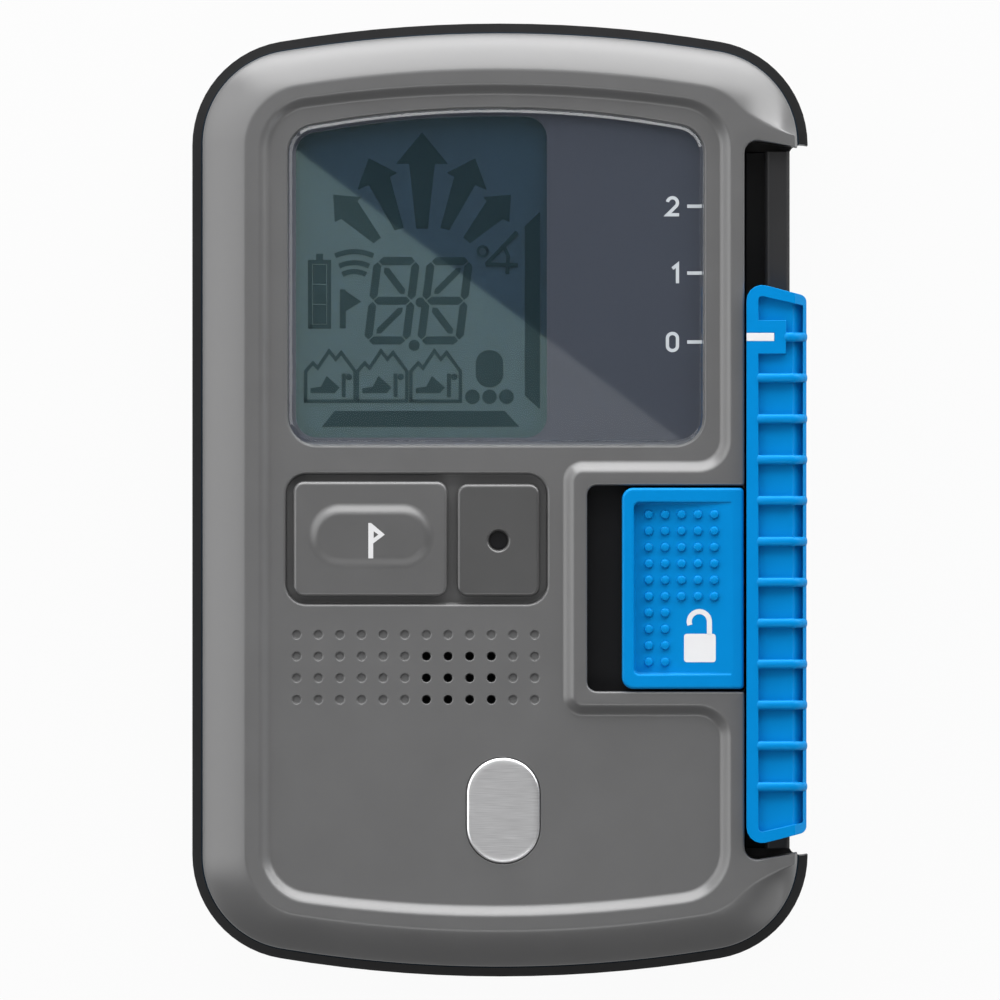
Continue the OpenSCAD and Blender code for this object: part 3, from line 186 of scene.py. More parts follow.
def outline(corners, offset=0.0, steps=10, closed=True):
    """An outline whose corners (x, y, radius) become arcs, moved to its right-hand side by offset.

    A corner's tip moves along its bisector by offset over the cosine of half its turn. Its radius grows by
    offset on a left turn and shrinks on a right turn. The ends of an open outline stay where they are.
    Places and ways are complex numbers, so that a quarter turn to the right is a factor of -1j.
    """
    places = np.array([complex(x, y) for x, y, _ in corners])
    ways = np.roll(places, -1) - places
    ways /= abs(ways)
    made = []
    for i, (*_, radius) in enumerate(corners):
        if not closed and i in (0, len(corners) - 1):
            made.append(places[i:i + 1])
            continue
        into, away = ways[i - 1], ways[i]
        turn = np.angle(away / into)
        side = 1 if turn >= 0 else -1
        tip = places[i] - 1j * offset * (into + away) / (1 + math.cos(turn))
        r = max(radius + side * offset, LEAST_R)
        spoke = -1j * side * r * into
        centre = tip - into * r * math.tan(abs(turn) / 2) - spoke
        made.append(centre + spoke * np.exp(1j * turn * np.linspace(0, 1, steps + 1)))
    return as_points(np.concatenate(made))


def footprint(low, high, grow=0.0):
    """(x0, x1, y0, y1) of a box seen from above, grown on all sides."""
    (x0, y0), (x1, y1) = low[:2] - grow, high[:2] + grow
    return x0, x1, y0, y1


def box_corners(x0, x1, y0, y1, r, right_r=None):
    """The corners of a rounded rectangle, counterclockwise. Those on the right may have their own radius."""
    far = r if right_r is None else right_r
    return [(x0, y0, r), (x1, y0, far), (x1, y1, far), (x0, y1, r)]


def bow_line(x0, x1, centre, apex, corner_r, bow_r):
    """Heights at x0 and x1, and the tip between them, of the two lines that a bowed edge is rounded from.

    The edge is a circle of bow_r whose top is at (centre, apex). The lines touch it just inside both corners.
    """
    ends = np.array([x0 + corner_r + BOW_INSIDE, x1 - corner_r - BOW_INSIDE]) - centre
    fall = np.sqrt(bow_r ** 2 - ends ** 2)
    y = apex - bow_r + fall
    slope = -ends / fall
    tip = (y[1] - y[0] + slope[0] * ends[0] - slope[1] * ends[1]) / (slope[0] - slope[1])
    left, right = np.array([x0, x1]) - centre - ends
    return y[0] + slope[0] * left, y[1] + slope[1] * right, (tip + centre, y[0] + slope[0] * (tip - ends[0]))


def arc(x, y, r, start, end, steps):
    """Points of an arc from one angle to another."""
    angle = np.linspace(start, end, steps + 1)
    return np.column_stack([x + r * np.cos(angle), y + r * np.sin(angle)])


def circle(x, y, r, steps):
    """A circle, counterclockwise."""
    return arc(x, y, r, 0, 2 * np.pi, steps)[:-1]


def at_height(points, z):
    """Points in the plane, lifted to a height, which may differ from point to point."""
    return np.column_stack([points, np.broadcast_to(z, len(points))])


def loop_at(corners, offset, z, steps=10):
    """A closed outline at a height."""
    return at_height(outline(corners, offset, steps), z)


def turned(x, y, profile, steps):
    """A circle about (x, y) for each (radius, height) of a profile."""
    return [at_height(circle(x, y, r, steps), z) for r, z in profile]


def fillet(z, radius, quarter):
    """(offset, height) points of a quarter round, from level to upright at an "edge" or back at a "foot"."""
    a = np.linspace(0, np.pi / 2, 7)
    out, down = radius * (1 - np.sin(a)), radius * (1 - np.cos(a))
    return [*zip(out, z - down)] if quarter == "edge" else [*zip(-down, z + out)]


# Meshes


SHEET_WALL = 0.02
MERGE = 0.0015
SLIVER = 0.0005
CAD_MERGE = 0.002
FLAT_ANGLE = math.radians(0.5)
CAD_CREASE = 30.0


class Shape:
    """Grids of points and flat fills, gathered into one mesh."""

    def __init__(self):
        self.points, self.faces, self.count = [], [], 0

    def add(self, points, faces):
        """Takes in points, and faces that count from the first of them."""
        self.points.append(np.asarray(points, float))
        self.faces += [[i + self.count for i in f] for f in faces]
        self.count += len(points)

    def grid(self, rows, closed=True):
        """Four-sided faces between neighbouring rows of points; closed joins each row's ends."""
        rows = np.asarray(rows, float)
        m, n = rows.shape[:2]
        i = np.arange(m - 1)[:, None] * n
        j = np.arange(n if closed else n - 1)[None, :]
        k = (j + 1) % n
        faces = np.stack([i + j, i + k, i + n + k, i + n + j], -1).reshape(-1, 4)
        self.add(rows.reshape(-1, 3), faces.tolist())
        return self

    def band(self, corners, profile, steps=10, closed=True):
        """A profile of (offset, height) points carried along an outline."""
        return self.grid([at_height(outline(corners, d, steps, closed), z) for d, z in profile], closed)

    def fill(self, *loops):
        """Triangles over the plane area inside the first loop and outside the others."""
        bm = bmesh.new()
        for loop in loops:
            corners = [bm.verts.new(point) for point in loop]
            for pair in zip(corners, corners[1:] + corners[:1]):
                bm.edges.new(pair)
        bmesh.ops.triangle_fill(bm, use_beauty=True, use_dissolve=False, edges=bm.edges[:])
        bm.verts.index_update()
        self.add([v.co[:] for v in bm.verts], [[v.index for v in face.verts] for face in bm.faces])
        bm.free()
        return self

    def build(self, name, material, body, crease=40.0, wall=SHEET_WALL):
        """One object that rides on its body, with doubles merged, sheets closed and faces turned outwards."""
        mesh = bpy.data.meshes.new(name)
        mesh.from_pydata((np.vstack(self.points) * MM).tolist(), [], self.faces)
        bm = bmesh.new()
        bm.from_mesh(mesh)
        bmesh.ops.remove_doubles(bm, verts=bm.verts[:], dist=MERGE * MM)
        bmesh.ops.dissolve_degenerate(bm, edges=bm.edges[:], dist=SLIVER * MM)
        bmesh.ops.recalc_face_normals(bm, faces=bm.faces[:])
        if body and any(edge.is_boundary for edge in bm.edges):
            thicken(bm, wall * MM)
            bmesh.ops.recalc_face_normals(bm, faces=bm.faces[:])
        bm.to_mesh(mesh)
        bm.free()
        piece = add_object(mesh, name, material, crease)
        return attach(piece, body) if body else piece


def thicken(bm, wall):
    """Closes an open sheet into a plate: each point gets a twin, one wall thickness back along its normal."""
    bm.normal_update()
    faces = bm.faces[:]
    rims = [edge.link_loops[0] for edge in bm.edges if edge.is_boundary]
    rims = [(loop.vert, loop.link_loop_next.vert) for loop in rims]
    back = {v: bm.verts.new(v.co - v.normal * wall) for v in bm.verts[:]}
    for face in faces:
        bm.faces.new([back[v] for v in reversed(face.verts)])
    for a, b in rims:
        bm.faces.new((b, a, back[a], back[b]))


def add_object(mesh, name, material, crease):
    """A mesh as an object with a finish, smooth up to the crease angle."""
    mesh.shade_smooth()
    mesh.set_sharp_from_angle(angle=math.radians(crease))
    mesh.materials.append(material)
    return link_object(name, mesh)


def link_object(name, data):
    """A new object in the scene."""
    thing = bpy.data.objects.new(name, data)
    scene.collection.objects.link(thing)
    return thing


def dressed_copy(node, material, body, bevel):
    """A merged copy of a CAD node with its flat faces joined and its edges slightly rounded."""
    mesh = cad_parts[node].data.copy()
    mesh.materials.clear()
    bm = bmesh.new()
    bm.from_mesh(mesh)
    bmesh.ops.remove_doubles(bm, verts=bm.verts[:], dist=CAD_MERGE * MM)
    bmesh.ops.dissolve_limit(bm, angle_limit=FLAT_ANGLE, verts=bm.verts[:], edges=bm.edges[:])
    bm.to_mesh(mesh)
    bm.free()
    piece = add_object(mesh, node + "_dressed", material, CAD_CREASE)
    if bevel:
        rounding = piece.modifiers.new("Rounding", "BEVEL")
        rounding.width = bevel * MM
        rounding.segments = 3
        rounding.limit_method = "ANGLE"
        rounding.angle_limit = math.radians(CAD_CREASE)
    level = piece.modifiers.new("Level faces", "WEIGHTED_NORMAL")
    level.keep_sharp = True
    if body:
        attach(piece, body)
    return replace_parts(piece, node)


# Materials


# Mottling as (size in millimetres, detail)
SATIN_MOTTLE = (6.0, 3.0)
GLOSSY_MOTTLE = (30.0, 0.0)
HAZE_MOTTLE = (9.0, 2.0)
GRAIN_DETAIL = 2.0
GRAIN_STRENGTH = 0.5
GLOSSY = 0.1
GLOSS_SPREAD = 0.12
STREAK_TONES = (0.7, 1.25)
STREAK_GLOSS = 0.15
HAZE_TINTS = ((0.92, 0.945, 0.955), (0.98, 0.995, 1.0))
SHADOW_TINT = (0.95, 0.97, 0.98, 1)


def feed(tree, node, inputs):
    """Sets a node's inputs: another node's output is wired to it, and anything else is a constant."""
    for name, value in inputs.items():
        if isinstance(value, bpy.types.NodeSocket):
            tree.links.new(value, node.inputs[name])
        else:
            node.inputs[name].default_value = value


def add_node(tree, kind, inputs):
    """A new shader node with its inputs."""
    node = tree.nodes.new("ShaderNode" + kind)
    feed(tree, node, inputs)
    return node


def new_material(name):
    """A material, its node tree, its Principled shader and the object's own coordinates."""
    material = bpy.data.materials.new(name)
    material.use_nodes = True
    tree = material.node_tree
    return material, tree, tree.nodes["Principled BSDF"], add_node(tree, "TexCoord", {}).outputs["Object"]


def noise(tree, place, size_mm, detail):
    """Noise whose blotches are about size_mm across."""
    return add_node(tree, "TexNoise", {"Vector": place, "Scale": 1 / (size_mm * MM), "Detail": detail,
                                       "Roughness": 0.6}).outputs["Fac"]


def ramp(tree, factor, low, high):
    """A colour that goes from low to high as factor goes from 0 to 1."""
    node = add_node(tree, "ValToRGB", {"Fac": factor})
    for element, colour in zip(node.color_ramp.elements, (low, high)):
        element.color = (*colour, 1)
    return node.outputs["Color"]


def spread(tree, factor, low, high):
    """A number between low and high, for a roughness."""
    return add_node(tree, "MapRange", {"Value": factor, "To Min": low, "To Max": high}).outputs["Result"]


def mix_shaders(tree, share, first, second):
    """Makes the material's surface a mix of two shaders."""
    mix = add_node(tree, "MixShader", {"Fac": share, 1: first.outputs[0], 2: second.outputs[0]})
    feed(tree, tree.nodes["Material Output"], {"Surface": mix.outputs["Shader"]})


def shade(colour, factor):
    """A colour times a factor."""
    return tuple(min(1.0, c * factor) for c in colour)


def moulded(name, colour, rough, grain_mm=0.25, depth_mm=0.004, mottle=0.06, specular=0.5, sheen=(1, 1, 1)):
    """Moulded plastic: fine grain, slow mottling of tone, and uneven gloss unless the finish is a mirror."""
    material, tree, shader, place = new_material(name)
    satin = rough > GLOSSY
    slow = noise(tree, place, *(SATIN_MOTTLE if satin else GLOSSY_MOTTLE))
    uneven = spread(tree, slow, rough * (1 - GLOSS_SPREAD), rough * (1 + GLOSS_SPREAD)) if satin else rough
    relief = add_node(tree, "Bump", {"Height": noise(tree, place, grain_mm, GRAIN_DETAIL),
                                     "Distance": depth_mm * MM, "Strength": GRAIN_STRENGTH})
    feed(tree, shader, {
        "Base Color": ramp(tree, slow, shade(colour, 1 - 2 * mottle), shade(colour, 1 + 2 * mottle)),
        "Roughness": uneven, "Specular IOR Level": specular, "Specular Tint": (*sheen, 1),
        "Normal": relief.outputs["Normal"]})
    return material


def metal(name, colour, rough, streak_mm=(0.05, 3.0, 0.05)):
    """Brushed or plated metal: fine streaks in tone and gloss."""
    material, tree, shader, place = new_material(name)
    stretch = add_node(tree, "Mapping", {"Vector": place, "Scale": [1 / (s * MM) for s in streak_mm]})
    streaks = add_node(tree, "TexNoise", {"Vector": stretch.outputs["Vector"], "Scale": 1.0}).outputs["Fac"]
    feed(tree, shader, {
        "Base Color": ramp(tree, streaks, *[shade(colour, tone) for tone in STREAK_TONES]),
        "Roughness": spread(tree, streaks, rough, rough + STREAK_GLOSS), "Metallic": 1.0})
    return material


def clear_window(name, ior):
    """Clear window that lamps shine through to what is behind. A low ior stands for a coat against glare."""
    material, tree, shader, place = new_material(name)
    haze = ramp(tree, noise(tree, place, *HAZE_MOTTLE), *HAZE_TINTS)
    feed(tree, shader, {"Base Color": haze, "Roughness": 0.0, "Transmission Weight": 1.0, "IOR": ior})
    through = add_node(tree, "BsdfTransparent", {"Color": SHADOW_TINT})
    path = add_node(tree, "LightPath", {})
    mix_shaders(tree, path.outputs["Is Shadow Ray"], shader, through)
    return material


GREY = (0.096, 0.096, 0.097)
BLACK = (0.011, 0.011, 0.012)
BLUE = (0.0, 0.195, 0.515)
shell_grey = moulded("shell grey", GREY, 0.32, 0.5, 0.003, 0.04, 0.85)
shell_black = moulded("shell black", BLACK, 0.36, 0.3, 0.012)
key_grey = moulded("key grey", shade(GREY, 0.82), 0.34, 0.45, 0.003, 0.04, 1.0)
plate_grey = moulded("plate grey", shade(GREY, 0.52), 0.34, 0.45, 0.003, 0.04, 0.9)
# Near-black that stands in for shade: in the speaker's through holes it is painted shade, and under the lock
# it is partly the black part there and partly painted shade
black_and_painted_shade = moulded("black and painted shade", (0.004, 0.004, 0.0045), 0.55, 0.3, 0.01, 0.06, 0.2)
signal_blue = moulded("signal blue", BLUE, 0.34, 0.45, 0.003, 0.03, 0.44, (0.15, 0.65, 1.0))
rail_black = moulded("rail black", (0.006, 0.006, 0.007), 0.5, 0.3, 0.01)
window_print = moulded("window print", (0.0235, 0.027, 0.036), 0.012, 0.9, 0.0, 0.03, 0.85)
printed_white = moulded("printed white", (0.66, 0.66, 0.67), 0.5, 0.15, 0.002, 0.02)
printed_grey = moulded("printed grey", (0.36, 0.375, 0.39), 0.5, 0.15, 0.002, 0.02, 0.2)
lcd_film = moulded("display film", (0.0085, 0.016, 0.027), 0.012, 0.9, 0.0, 0.03, 1.44, (0.71, 1.0, 0.87))
lcd_ink = moulded("display ink", (0.0065, 0.012, 0.015), 0.012, 0.9, 0.0, 0.02, 0.42, (0.6, 1.0, 0.95))
seal_rubber = moulded("seal rubber", (0.003, 0.011, 0.02), 0.6, 0.3, 0.01, 0.06, 0.1)
white_plastic = moulded("white plastic", (0.75, 0.75, 0.73), 0.45)
smoked_acrylic = moulded("smoked acrylic", (0.005, 0.005, 0.006), 0.33, 0.5, 0.001, 0.05, 0.3)
board_green = moulded("board green", (0.01, 0.1, 0.045), 0.33, 0.6, 0.01)
ferrite = moulded("ferrite", (0.035, 0.035, 0.038), 0.6, 0.15, 0.02)
cell_jacket = moulded("cell jacket", (0.5, 0.32, 0.03), 0.33, 0.6, 0.002)
mesh_cloth = moulded("mesh cloth", (0.01, 0.01, 0.011), 0.8, 0.12, 0.05)
inlay_silver = metal("inlay silver", (0.76, 0.76, 0.77), 0.29, (3.0, 0.06, 1.0))
steel = metal("steel", (0.6, 0.6, 0.61), 0.29)
brass = metal("brass", (0.72, 0.5, 0.2), 0.3)
copper = metal("copper winding", (0.62, 0.28, 0.12), 0.35, (3.0, 3.0, 3.0))
lens_clear = clear_window("window coated face", 1.12)
lens_edge = clear_window("window bare edge", 1.6)


# Front shell


def case_line(half_w, half_l, end_r, corner_r, corner_steps=48, end_steps=72):
    """The six arcs of the case outline, counterclockwise from the upper end of the right side.

    The corners are circles of corner_r that touch the straight sides and the bowed ends of end_r, which
    puts their centres on a circle of end_r - corner_r about each end's centre. The lower three arcs are the
    upper three, turned half round.
    """
    cx = half_w - corner_r
    tilt = math.asin(cx / (end_r - corner_r))
    cy = half_l - end_r + (end_r - corner_r) * math.cos(tilt)
    quarter = math.pi / 2
    upper = [arc(cx, cy, corner_r, 0, quarter - tilt, corner_steps),
             arc(0, half_l - end_r, end_r, quarter - tilt, quarter + tilt, end_steps),
             arc(-cx, cy, corner_r, quarter + tilt, math.pi, corner_steps)]
    return upper + [-line for line in upper]


def bay_end_y(x):
    """Height across the front of the slide bay's upper end, which slopes down to the case side."""
    return BAY_Y - BAY_SLOPE * (x - BAY_X) / BAY_D


def horn_crest(edge, crest, tip_share=0.06, free_share=0.52):
    """The crest of one right-hand corner: it leaves its own corner arc and sweeps out to the horn's tip.

    Both lines run from the side to the end. From tip_share to free_share of the way it is a cubic curve that
    starts along the horn and ends along the crest's arc.
    """
    share = np.linspace(0, 1, len(edge))
    tip = int(round(tip_share * (len(edge) - 1)))
    free = int(round(free_share * (len(edge) - 1)))
    inward = -np.sign(edge[0, 0]) * np.array([HORN_EDGE, 0])
    along = np.sign(edge[-1, 1] - edge[0, 1])
    start = edge[tip] + inward
    end = crest[free]
    leave = unit(crest[free] - crest[free + 1])
    controls = [start, start + HORN_START * (1, along), end + HORN_END * leave, end]
    t = np.clip((share - share[tip]) / (share[free] - share[tip]), 0, 1)[:, None]
    curve = sum(math.comb(3, k) * (1 - t) ** (3 - k) * t ** k * c for k, c in enumerate(controls))
    blended = np.where((share <= share[tip])[:, None], edge + inward, curve)
    return np.where((share >= share[free])[:, None], crest, blended)


def front_lines():
    """The front shell's lower edge and its crest as open lines from the upper horn round to the lower one."""
    edge = case_line(HALF_W - MARGIN, HALF_L - MARGIN, END_R - MARGIN, CORNER_R - MARGIN)
    inset = MARGIN + RIM_END_W
    crest = case_line(HALF_W - MARGIN - RIM_W, HALF_L - inset, END_R - inset, CREST_R)
    crest[0] = horn_crest(edge[0], crest[0])
    crest[5] = horn_crest(edge[5][::-1], crest[5][::-1])[::-1]
    made = []
    for x, line in ((HALF_W - MARGIN, edge), (HALF_W - MARGIN - HORN_EDGE, crest)):
        made.append(np.vstack([[x, bay_end_y(x)], *line, [x, -bay_end_y(x)]]))
    return made


def rim_profile(round_steps=6, crown_steps=12):
    """Ways in and up across the rim: a small round off the upright side, then a wide arc that leans in.

    On an arc of radius r the way in is r (1 - sin lean) and the way up is r cos lean. The lean from the level
    falls from a right angle to RIM_LEAN[0] on the round and to RIM_LEAN[1] on the arc, which fills the width.
    """
    edge = np.linspace(math.pi / 2, RIM_LEAN[0], round_steps)
    crown = np.linspace(*RIM_LEAN, crown_steps)[1:]
    way_in = RIM_EDGE_R * (1 - np.sin(edge))
    way_up = RIM_EDGE_R * np.cos(edge)
    r = (RIM_END_W - way_in[-1]) / (math.sin(RIM_LEAN[0]) - math.sin(RIM_LEAN[1]))
    way_in = np.append(way_in, way_in[-1] + r * (math.sin(RIM_LEAN[0]) - np.sin(crown)))
    way_up = np.append(way_up, way_up[-1] + r * (np.cos(crown) - math.cos(RIM_LEAN[0])))
    return way_in / RIM_END_W, way_up


def rim_rows(edge_line, crest_line):
    """The rim: upright from the seam, then the rim's profile over the local width, and a round at the crest.

    The round has the profile's last slope where it starts, is level where it ends, and shrinks to nothing
    where a horn narrows.
    """
    way = crest_line - edge_line
    wide = np.hypot(*way.T)
    inward = way / wide[:, None]
    share_in, way_up = rim_profile()
    foot = CREST_Z - way_up[-1]
    lean = np.arctan(math.tan(RIM_LEAN[1]) * RIM_END_W / wide)
    room = np.clip((wide - HORN_EDGE) / HORN_FADE, 0, 1)
    r = CREST_ROUND * room
    start = crest_line - inward * (r * np.sin(lean) / 2)[:, None]
    drop = r * (1 - np.cos(lean))
    rows = [at_height(edge_line, z) for z in np.linspace(SEAM_Z, foot, 4)]
    for share, up in zip(share_in[1:], way_up[1:]):
        rows.append(at_height(edge_line + (start - edge_line) * share, foot + up - drop * up / way_up[-1]))
    for left in np.linspace(1, 0, CREST_TURNS)[1:]:
        ahead = r * (np.sin(lean) - np.sin(lean * left))
        rows.append(at_height(start + inward * ahead[:, None], CREST_Z - r * (1 - np.cos(lean * left))))
    rows.append(at_height(rows[-1][:, :2] + inward * (FLAT * room)[:, None], CREST_Z))
    return np.array(rows)


def panel_corners():
    """The sunken panel's foot: bowed ends and a step round the lock."""
    x0 = -(HALF_W - MARGIN - RIM_W - BAND_W - SLOPE_W)
    x1 = BAY_X - BAY_BORDER
    apex = HALF_L - MARGIN - RIM_END_W - BAND_W - SLOPE_W
    side_y, _, (middle, tip_y) = bow_line(x0, x1, (x0 + x1) / 2, apex, PANEL_R, END_R)
    step_x = NOTCH_X - LOCK_BORDER
    step_y0 = NOTCH_Y[0] - LOCK_BORDER
    step_y1 = NOTCH_Y[1] + LOCK_BORDER
    return [(x0, -side_y, PANEL_R), (middle, -tip_y, END_R), (x1, -side_y, PANEL_R), (x1, step_y0, JOG_R),
            (step_x, step_y0, JOG_R), (step_x, step_y1, JOG_R), (x1, step_y1, JOG_R), (x1, side_y, PANEL_R),
            (middle, tip_y, END_R), (x0, side_y, PANEL_R)]


def slope_profile(steps=10):
    """The panel's slope: (offset, height) along a smooth step, level at its foot and its top."""
    t = np.linspace(0, 1, steps + 1)
    lift = t * t * (3 - 2 * t)
    return [(-FLAT, PANEL_Z), *zip(SLOPE_W * t, PANEL_Z + PANEL_DEPTH * lift), (SLOPE_W + FLAT, CREST_Z)]


def bowed_corners(x0, x1, y0, apex, r, bow_r):
    """The corners of a rounded rectangle whose upper edge is bowed about the window's middle."""
    middle = (lens_low[0] + lens_high[0]) / 2
    left_y, right_y, tip = bow_line(x0, x1, middle, apex, r, bow_r)
    return [(x0, y0, r), (x1, y0, r), (x1, right_y, r), (*tip, bow_r), (x0, left_y, r)]


def window_corners():
    """The window's seat, with its bowed upper edge."""
    return bowed_corners(*footprint(lens_low, lens_high, FIT), WINDOW_R, WINDOW_BOW_R)


def sight_corners():
    """The display opening: it follows the window's ledge and ends at the printed field on the right."""
    x0, _, y0, apex = footprint(lens_low, lens_high, FIT - LEDGE)
    return bowed_corners(x0, lcd_high[0] - LCD_LAP, y0, apex, SIGHT_R, WINDOW_BOW_R - LEDGE)


def key_corners():
    """The recess of the mark button and the light plate."""
    return box_corners(mark_low[0] - KEY_RIM, plate_high[0] + KEY_RIM, mark_low[1] - KEY_RIM,
                       mark_high[1] + KEY_RIM, KEY_R)


def inlay_corners(grow=0.0):
    """The oval inlay's outline: a stadium upright on the panel."""
    r = (inlay_high[0] - inlay_low[0]) / 2 + grow - OVAL_FLAT
    return box_corners(*footprint(inlay_low, inlay_high, grow), r)


def seat_profile(edge_r, floor, foot_r):
    """A recess's wall: level rim, rounded edge, upright wall, rounded foot and level floor edge."""
    return [(edge_r + FLAT, PANEL_Z), *fillet(PANEL_Z, edge_r, "edge"), *fillet(floor, foot_r, "foot"),
            (-foot_r - FLAT, floor)]


def speaker_places():
    """Centres of the speaker holes, and which of them go right through."""
    column, row = np.indices((GRID_COLUMNS, GRID_ROWS)).reshape(2, -1)
    corners = key_corners()
    x = corners[0][0] + GRID_START + column * GRID_PITCH
    y = corners[0][1] - GRID_GAP - row * GRID_PITCH
    first, last = GRID_OPEN_COLUMNS
    through = (column >= first) & (column <= last) & (row >= GRID_OPEN_ROW)
    return np.column_stack([x, y]), through


def bay_corners(with_notch):
    """The slide bay's edge from the upper horn's tip to the lower one, with or without the lock recess."""
    tip_x = HALF_W - MARGIN - HORN_EDGE
    tip_y = bay_end_y(tip_x)
    notch = [(BAY_X, NOTCH_Y[1], NOTCH_MOUTH_R), (NOTCH_X, NOTCH_Y[1], NOTCH_R),
             (NOTCH_X, NOTCH_Y[0], NOTCH_R), (BAY_X, NOTCH_Y[0], NOTCH_MOUTH_R)]
    return [(tip_x, tip_y, 0), (BAY_X, BAY_Y, BAY_R), *(notch if with_notch else []), (BAY_X, -BAY_Y, BAY_R),
            (tip_x, -tip_y, 0)]


def make_front_shell():
    """The front shell: rim, crest, sunken panel, slide bay, and the seats of everything let into it."""
    shell = Shape()
    edge_line, crest_line = front_lines()
    rim = rim_rows(edge_line, crest_line)
    shell.grid(rim, closed=False)

    # Level top between the crest, the panel's slope and the bay
    bay_edge = [(BAY_EDGE_R, CREST_Z), *fillet(CREST_Z, BAY_EDGE_R, "edge")[1:], (0, NOTCH_FLOOR)]
    bay_path = bay_corners(True)
    shell.band(bay_path, bay_edge, BAY_STEPS, closed=False)
    bay_line = outline(bay_path, BAY_EDGE_R, BAY_STEPS, closed=False)
    top_loop = np.vstack([rim[-1][:, :2], bay_line[-2:0:-1]])
    panel = panel_corners()
    shell.band(panel, slope_profile())
    shell.fill(at_height(top_loop, CREST_Z), loop_at(panel, SLOPE_W + FLAT, CREST_Z))

    # The bay's wall below the lock recess, and the horns' ends
    shell.band(bay_corners(False), [(0, NOTCH_FLOOR), (0, SEAM_Z)], BAY_STEPS, closed=False)
    for end in (0, -1):
        foot = np.array([[*crest_line[end], z] for z in [z for _, z in bay_edge[1:]] + [SEAM_Z]])
        shell.fill(np.vstack([rim[:-CREST_TURNS, end], foot]))

    # Panel floor with the seats of the window, the keys and the inlay, and the speaker's holes
    seats = [(window_corners(), WINDOW_SEAT_R, lens_low[2], FOOT_R),
             (key_corners(), KEY_SEAT_R, KEY_FLOOR, FOOT_R),
             (inlay_corners(FIT), INLAY_SEAT_R, inlay_low[2], INLAY_FOOT_R)]
    for corners, *seat in seats:
        shell.band(corners, seat_profile(*seat))
    rims = [loop_at(corners, edge_r + FLAT, PANEL_Z) for corners, edge_r, _, _ in seats]
    ledge, *floors = [loop_at(corners, -foot_r - FLAT, z) for corners, _, z, foot_r in seats]
    for floor in floors:
        shell.fill(floor)
    # The through holes end on dark discs: painted shade for their depth
    dark = Shape()
    for (x, y), is_open in zip(*speaker_places()):
        floor = PANEL_Z - (GRID_OPEN_DEPTH if is_open else GRID_BLIND_DEPTH)
        wide = GRID_HOLE_R + GRID_ROUND
        rows = turned(x, y, [(wide + FLAT, PANEL_Z), (wide, PANEL_Z),
                             (GRID_HOLE_R + GRID_MIDDLE, PANEL_Z - GRID_MIDDLE),
                             (GRID_HOLE_R, PANEL_Z - GRID_ROUND), (GRID_HOLE_R, floor + FOOT_R),
                             (GRID_HOLE_R - FOOT_R, floor)], GRID_HOLE_STEPS)
        shell.grid(rows)
        (dark if is_open else shell).fill(rows[-1])
        rims.append(rows[0])
    shell.fill(loop_at(panel, -FLAT, PANEL_Z), *rims)

    # The window's ledge and the display opening
    sight = sight_corners()
    shell.fill(ledge, loop_at(sight, 0, lens_low[2]))
    shell.band(sight, [(0, lens_low[2]), (0, lcd_high[2])])

    # The dark bed that the lock slides on: a near-black sheet on the recess floor, partly the black part
    # under the lock and partly painted shade
    bed_corners = box_corners(NOTCH_X - BED_LAP, BAY_X, *NOTCH_Y, BED_R)
    bed = Shape().fill(loop_at(bed_corners, 0, NOTCH_FLOOR, BAY_STEPS))
    bed.build("lock_bed_and_painted_shade", black_and_painted_shade, "case")
    dark.build("speaker_hole_painted_shade", black_and_painted_shade, "case")
    piece = shell.build("front_shell_moulding", shell_grey, "case", crease=19, wall=SHELL_WALL)
    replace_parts(piece, "front_shell")


# Rear shell


REAR_ROUND = 0.25
# The lip's section, as (way out from the front shell, height over the seam)
LIP_SECTION = ((-0.1, 0.0), (-0.02, 0.05), (0.1, 0.06), (0.24, 0.05), (0.3, 0.0), (-0.1, 0.0))


def make_rear_shell():
    """The rear shell with softened edges, and the seal's lip that shows between the two shells."""
    dressed_copy("rear_shell", shell_black, "case", REAR_ROUND)
    rows = []
    for grow, lift in LIP_SECTION:
        inset = MARGIN - grow
        line = np.vstack(case_line(HALF_W - inset, HALF_L - inset, END_R - inset, CORNER_R - inset))
        rows.append(at_height(line, SEAM_Z + lift))
    rows = np.array(rows)
    lip = Shape().grid(rows, closed=False).fill(rows[:-1, 0]).fill(rows[:-1, -1])
    lip.build("seal_lip", seal_rubber, "case", crease=50)


# Window and display


WINDOW_BEVEL = 0.5
WINDOW_STEPS = 16
LENS_GAP = 0.02
LEVEL = 0.97


def make_window():
    """The clear window, its bevelled edge, and the print on its underside."""
    corners = window_corners()
    z0, z1 = lens_low[2] + LENS_GAP, lens_high[2]
    side, edge = -FIT, -FIT - WINDOW_BEVEL
    profile = [(side - 0.14, z0), (side - 0.1, z0), (side, z0 + 0.1), (side, z1 - WINDOW_BEVEL),
               (side - 0.08, z1 - WINDOW_BEVEL + 0.2), (edge + 0.1, z1 - 0.05), (edge, z1), (edge - FLAT, z1)]
    lens = Shape().band(corners, profile, WINDOW_STEPS)
    for offset, z in (profile[-1], profile[0]):
        lens.fill(loop_at(corners, offset, z, WINDOW_STEPS))
    piece = lens.build("window_lens", lens_clear, "case", crease=30)
    piece.data.materials.append(lens_edge)
    for face in piece.data.polygons:
        face.material_index = int(abs(face.normal.z) < LEVEL)
    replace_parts(piece, "display_window")

    border = loop_at(corners, side - 0.12, PRINT_Z, WINDOW_STEPS)
    film = Shape().fill(border, loop_at(sight_corners(), 0, PRINT_Z))
    film.build("window_print_mask", window_print, "case")


def flat_marks(name, areas, lines, z, material, body):
    """Thin printed marks: areas are filled loops, and lines are (points, width) strips of even width."""
    marks = Shape()
    lift = z + MARK_STEP * np.arange(len(areas) + len(lines))
    for loop, height in zip(areas, lift):
        marks.fill(at_height(np.asarray(loop, float), height))
    for (points, width), height in zip(lines, lift[len(areas):]):
        marks.grid([at_height(side, height) for side in stroke(points, width)], closed=False)
    marks.build(name, material, body)


